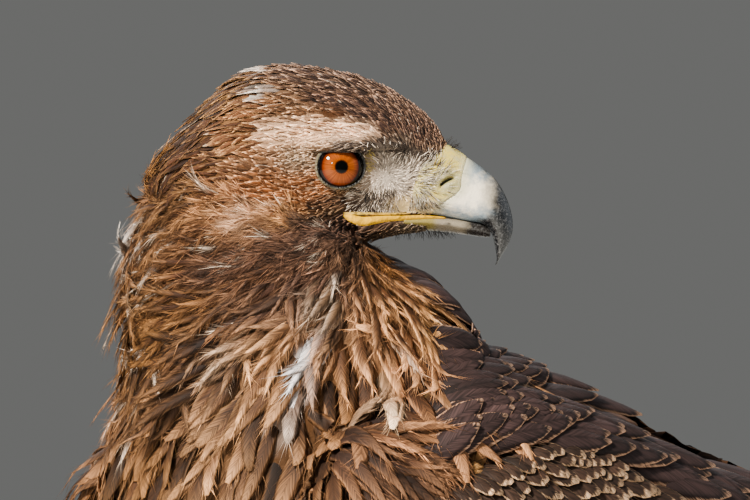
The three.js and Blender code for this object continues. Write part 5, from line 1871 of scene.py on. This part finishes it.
def tiled(starts, turns, distances, kind, rng):
    """Rows of stiff feathers that follow one another back over the wing from a start line."""
    rows = []
    for k, distance in enumerate(distances):
        places, headings = streamed(starts, distance * MM, turns, *kind["settle"])
        length, width, over = (kind[key][0] + kind[key][1] * distance for key in ("length", "width", "over"))
        places, headings = row_of(places, headings, kind["gap"] * width * MM, k % 2, rng)
        count = len(places)
        lengths = length * MM * rng.uniform(0.9, 1.15, count)
        headings = unit(headings + kind["jitter"] * rng.normal(size=(count, 3)))
        shape = BLADE[kind["blade"]]
        lines = midlines(places, headings, lengths, len(shape) - 1)
        rise = kind["lift"] * lengths * rng.uniform(0.6, 1.3, count)
        wide = width * MM * rng.uniform(0.9, 1.12, count)
        row = blades(*lines, wide, shape, rise, rng, ribs=5, over=over, cup=0.3, thick=kind["thick"])
        tone = rng.lognormal(0, 0.3, (count, 1))
        row["centre"] = hexed(kind["centre"]) * tone
        row["fringe"] = hexed(kind["fringe"]) * tone ** kind["even"]
        if kind["faded"]:
            row["fringe"] *= rng.lognormal(0, kind["faded"], (count, 1))
        rows.append(row)
    return rows


wing_notes = note_rows(WING_NOTES, beside_body, body_way)
covert_look = feather_look("wing_covert_barbs", 0.5, 0.85, 1.0)
scapular_look = feather_look("scapular_barbs", 0.7, 0.95, 1.0)
quill_look = feather_look("flight_feather_barbs", 0.75, 1.0, 2.2, shaft=0.7)
for side, word in ((1, "left"), (-1, "right")):
    rng = np.random.default_rng(50 + side)
    is_wing = ~is_hide & ~is_shoulder & (body_middles[:, 0] * side > 0) & (body_middles[:, 1] > -440)
    roots = strewn(is_wing, 0.5, 51, wing_notes)
    lining = dressed(roots, rng, "round", notes=wing_notes, lift=0.09, over=0.5, tips=0)
    coat("wing_lining_" + word, [lining], wing_unwrap, soft_look)
    front = rows_at(COVERT_FRONT, np.linspace(0, 1, 60))
    starts = on_body(side * 112, front[:, 0], front[:, 1])
    rows = tiled(starts, front[:, 2], COVERT_ROWS, COVERTS, rng)
    coat("wing_coverts_" + word, rows, wing_unwrap, covert_look)

    collar = rows_at(SHOULDER_FRONT, np.linspace(0, 1, 40))
    starts = on_body(side * collar[:, 0], collar[:, 1], collar[:, 2])
    rows = []
    for k, distance in enumerate(SHOULDER_ROWS):
        places, headings = streamed(starts, distance * MM, collar[:, 3], 40, 0.05)
        places, headings = row_of(places, headings, 5 * MM, k % 2, rng)
        headings = unit(headings + 0.12 * rng.normal(size=(len(places), 3)))
        row = laid(places, headings, rng, "hackle", over=5 - 0.6 * k, lift=0.1, slim=0.62, ribs=5, notch=0.3)
        rows.append(barbed(row, rng, 50, 9, (8, 32)))
    coat("shoulder_feathers_" + word, rows, wing_unwrap, soft_look)

    shoulder = rows_at(SCAPULAR_FRONT, np.linspace(0, 1, 40))
    starts = on_body(side * shoulder[:, 0], shoulder[:, 1], shoulder[:, 2])
    rows = tiled(starts, shoulder[:, 3], SCAPULAR_ROWS, SCAPULARS, rng)
    coat("scapulars_" + word, rows, wing_unwrap, scapular_look)
    coat("wing_quills_" + word, quills(QUILLS, side, rng), wing_unwrap, quill_look)

# Twelve tail feathers lie in a shut fan, the middle pair on top, rooted in the tail's fleshy end. They are
# stiff vanes on strong shafts, crossed by soft dark bars.
FAN = {"pairs": 6, "root": -262, "tip": -520, "spread": 5.6, "middle": 5, "shorter": 1.5, "width": 44}
TAIL_FORM = {"ribs": 5, "thick": 0.5, "cup": 0.06, "notch": 0.04, "sink": 0}
TAIL_TOP = {"forward": -330, "up": 311, "slope": 0.535, "over": 4, "layer": 0.85}


def tail_fan(rng):
    places, outs, widths = [], [], []
    tilt = unit(np.array([0, TAIL_TOP["slope"], 1.0]))
    for k in range(FAN["pairs"]):
        for side in (1, -1):
            u = np.linspace(0, 1, len(BLADE["flight"]))
            forward = FAN["root"] + (FAN["tip"] + FAN["shorter"] * k - FAN["root"]) * u
            left = side * ((1 + 1.6 * k) * (1 - u) + (FAN["middle"] + FAN["spread"] * k) * u)
            up = TAIL_TOP["up"] + (forward - TAIL_TOP["forward"]) * TAIL_TOP["slope"] + TAIL_TOP["over"]
            up = up - TAIL_TOP["layer"] * (k + 0.5 * (side < 0))
            places.append(on_body(left, forward, up))
            outs.append(np.tile(unit(tilt + [side * 0.05 * k, 0, 0]), (len(u), 1)))
            widths.append(FAN["width"] * MM)
    places, outs, widths = (np.array(each) for each in (places, outs, widths))
    made = blades(places, outs, widths, BLADE["flight"], np.zeros(len(places)), rng, **TAIL_FORM)
    tone = rng.lognormal(0, 0.06, (len(places), 1))
    made["centre"] = hexed("#4a3a31") * tone
    made["fringe"] = hexed("#5d4a3d") * tone
    return made


def tail_unwrap(points):
    left, forward, _ = body_view(points).T
    return np.stack([left, forward], -1)


tail_look = feather_look("tail_feather_barbs", 0.7, 1.0, 2.2, shaft=0.7, bars=26)
coat("tail_feathers", [tail_fan(np.random.default_rng(61))], tail_unwrap, tail_look)

# The toes are covered in yellow scales: broad scutes along the top, small grains at the sides, and thick
# pads below. Each ends in a long curved talon of black horn.
# [number, turn outwards from straight ahead, length, claw], in degrees and millimetres.
TOES = [[3, -4, 74, 34], [2, 34, 52, 42], [4, -44, 56, 28], [1, 168, 46, 46]]
TOE_START = 18
TOE_RINGS = 112
TOE_ROUND = 40
SCUTES = 16
PADS = 3
TOE_SHAPE = [
    [-8, 0, 9.2, 7.6, 8.6],
    [0, 0, 9.4, 8.2, 8.8],
    [0.3, 0, 9.0, 7.6, 8.4],
    [0.45, 0, 9.2, 7.9, 8.8],
    [0.65, 0, 8.8, 7.0, 8.0],
    [0.85, 0, 8.2, 7.2, 7.8],
    [1, 0, 8.6, 5.4, 6.0],
]
CLAW_SHAPE = [
    [0, 0, 10, 3.6, 4.6],
    [0.2, 0, 13.4, 3.5, 4.6],
    [0.42, 0, 14.2, 3.0, 3.9],
    [0.6, 0, 10.4, 2.2, 2.7],
    [0.7, 0, 5.2, 1.2, 1.5],
    [0.74, 0, 1.6, 0.5, 0.5],
]


def toe_frame(side, turn):
    """Places along a toe from the foot's middle: ahead on it, across it, and up."""
    angle = math.radians(turn)
    way = np.array([math.sin(angle) * side, math.cos(angle)])
    foot = np.array([side * FOOT["out"], FOOT["forward"]])

    def onto(ahead, across, up):
        left = foot[0] + ahead * way[0] + across * way[1]
        forward = foot[1] + ahead * way[1] - across * way[0]
        return on_body(left, forward, up)

    return onto, np.array([way[1], way[0], 0]) * side


def scale_look(tree, shader):
    """Dull yellow skin of small round grains, with darker lines between them."""
    place = add(tree, "TexCoord").outputs["Object"]
    grains = add(tree, "TexVoronoi", {"Vector": place, "Scale": 700}).outputs["Distance"]
    blotch = add(tree, "TexNoise", {"Vector": place, "Scale": 160, "Detail": 3}).outputs["Fac"]
    wide = add(tree, "MapRange", (blotch, 0.35, 0.65)).outputs["Result"]
    tint = add(tree, "Mix", {0: wide, 6: "#d0a93c", 7: "#b8963f"}, data_type="RGBA").outputs[2]
    edge = add(tree, "MapRange", (grains, 0.3, 0.7, 1, 0.55)).outputs["Result"]
    product = add(tree, "VectorMath", {0: tint, "Scale": edge}, operation="SCALE")
    tree.links.new(product.outputs["Vector"], shader.inputs["Base Color"])
    raised = add(tree, "Bump", {"Height": grains, "Distance": 0.0006, "Strength": 0.7}, invert=True)
    tree.links.new(raised.outputs["Normal"], shader.inputs["Normal"])


toe_skin = painted("scaly_toe_skin", scale_look, 0.5)
talon_horn = painted("talon_horn", "#1c1a1b", 0.25, Coat_Weight=0.4, Coat_Roughness=0.2)
for side, word in ((1, "left"), (-1, "right")):
    for number, turn, length, claw in TOES:
        onto, across = toe_frame(side, turn)
        table = np.array(TOE_SHAPE, float)
        table[0, 0] += TOE_START
        table[1:, 0] = TOE_START + table[1:, 0] * (length - 1)
        name = f"{word}_{number}"
        rings = sweep(table, onto, across, TOE_RINGS, TOE_ROUND)
        share = np.linspace(0, 1, TOE_RINGS + 1)[:, None]
        upward = np.cos(np.linspace(0, 2 * math.pi, TOE_ROUND, endpoint=False))
        scute = 0.5 * ((share * SCUTES) % 1) * np.clip(1.6 * upward, 0, 1)
        pad = -1.2 * np.cos(math.pi * PADS * share) ** 2 * np.clip(-1.3 * upward, 0, 1)
        raised = (scute + pad)[..., None] * MM
        toe = closed("toe_scales_" + name, rings + raised * unit(rings - rings.mean(1, keepdims=True)))
        toe.data.materials.append(toe_skin)
        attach(toe, "root")
        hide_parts("toe_" + name)
        table = np.array(CLAW_SHAPE, float)
        table[:, 0] = TOE_START + length - 1.5 + table[:, 0] * claw
        talon = closed("talon_" + name, sweep(table, onto, across, 48, 24))
        talon.data.materials.append(talon_horn)
        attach(talon, "root")
        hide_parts("claw_" + name)

# The whole bird's size, beside the size of the solids.
boxes = {"cad": cad_box, "model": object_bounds()}
{key: np.array(box, float).ravel().tolist() for key, box in boxes.items()}
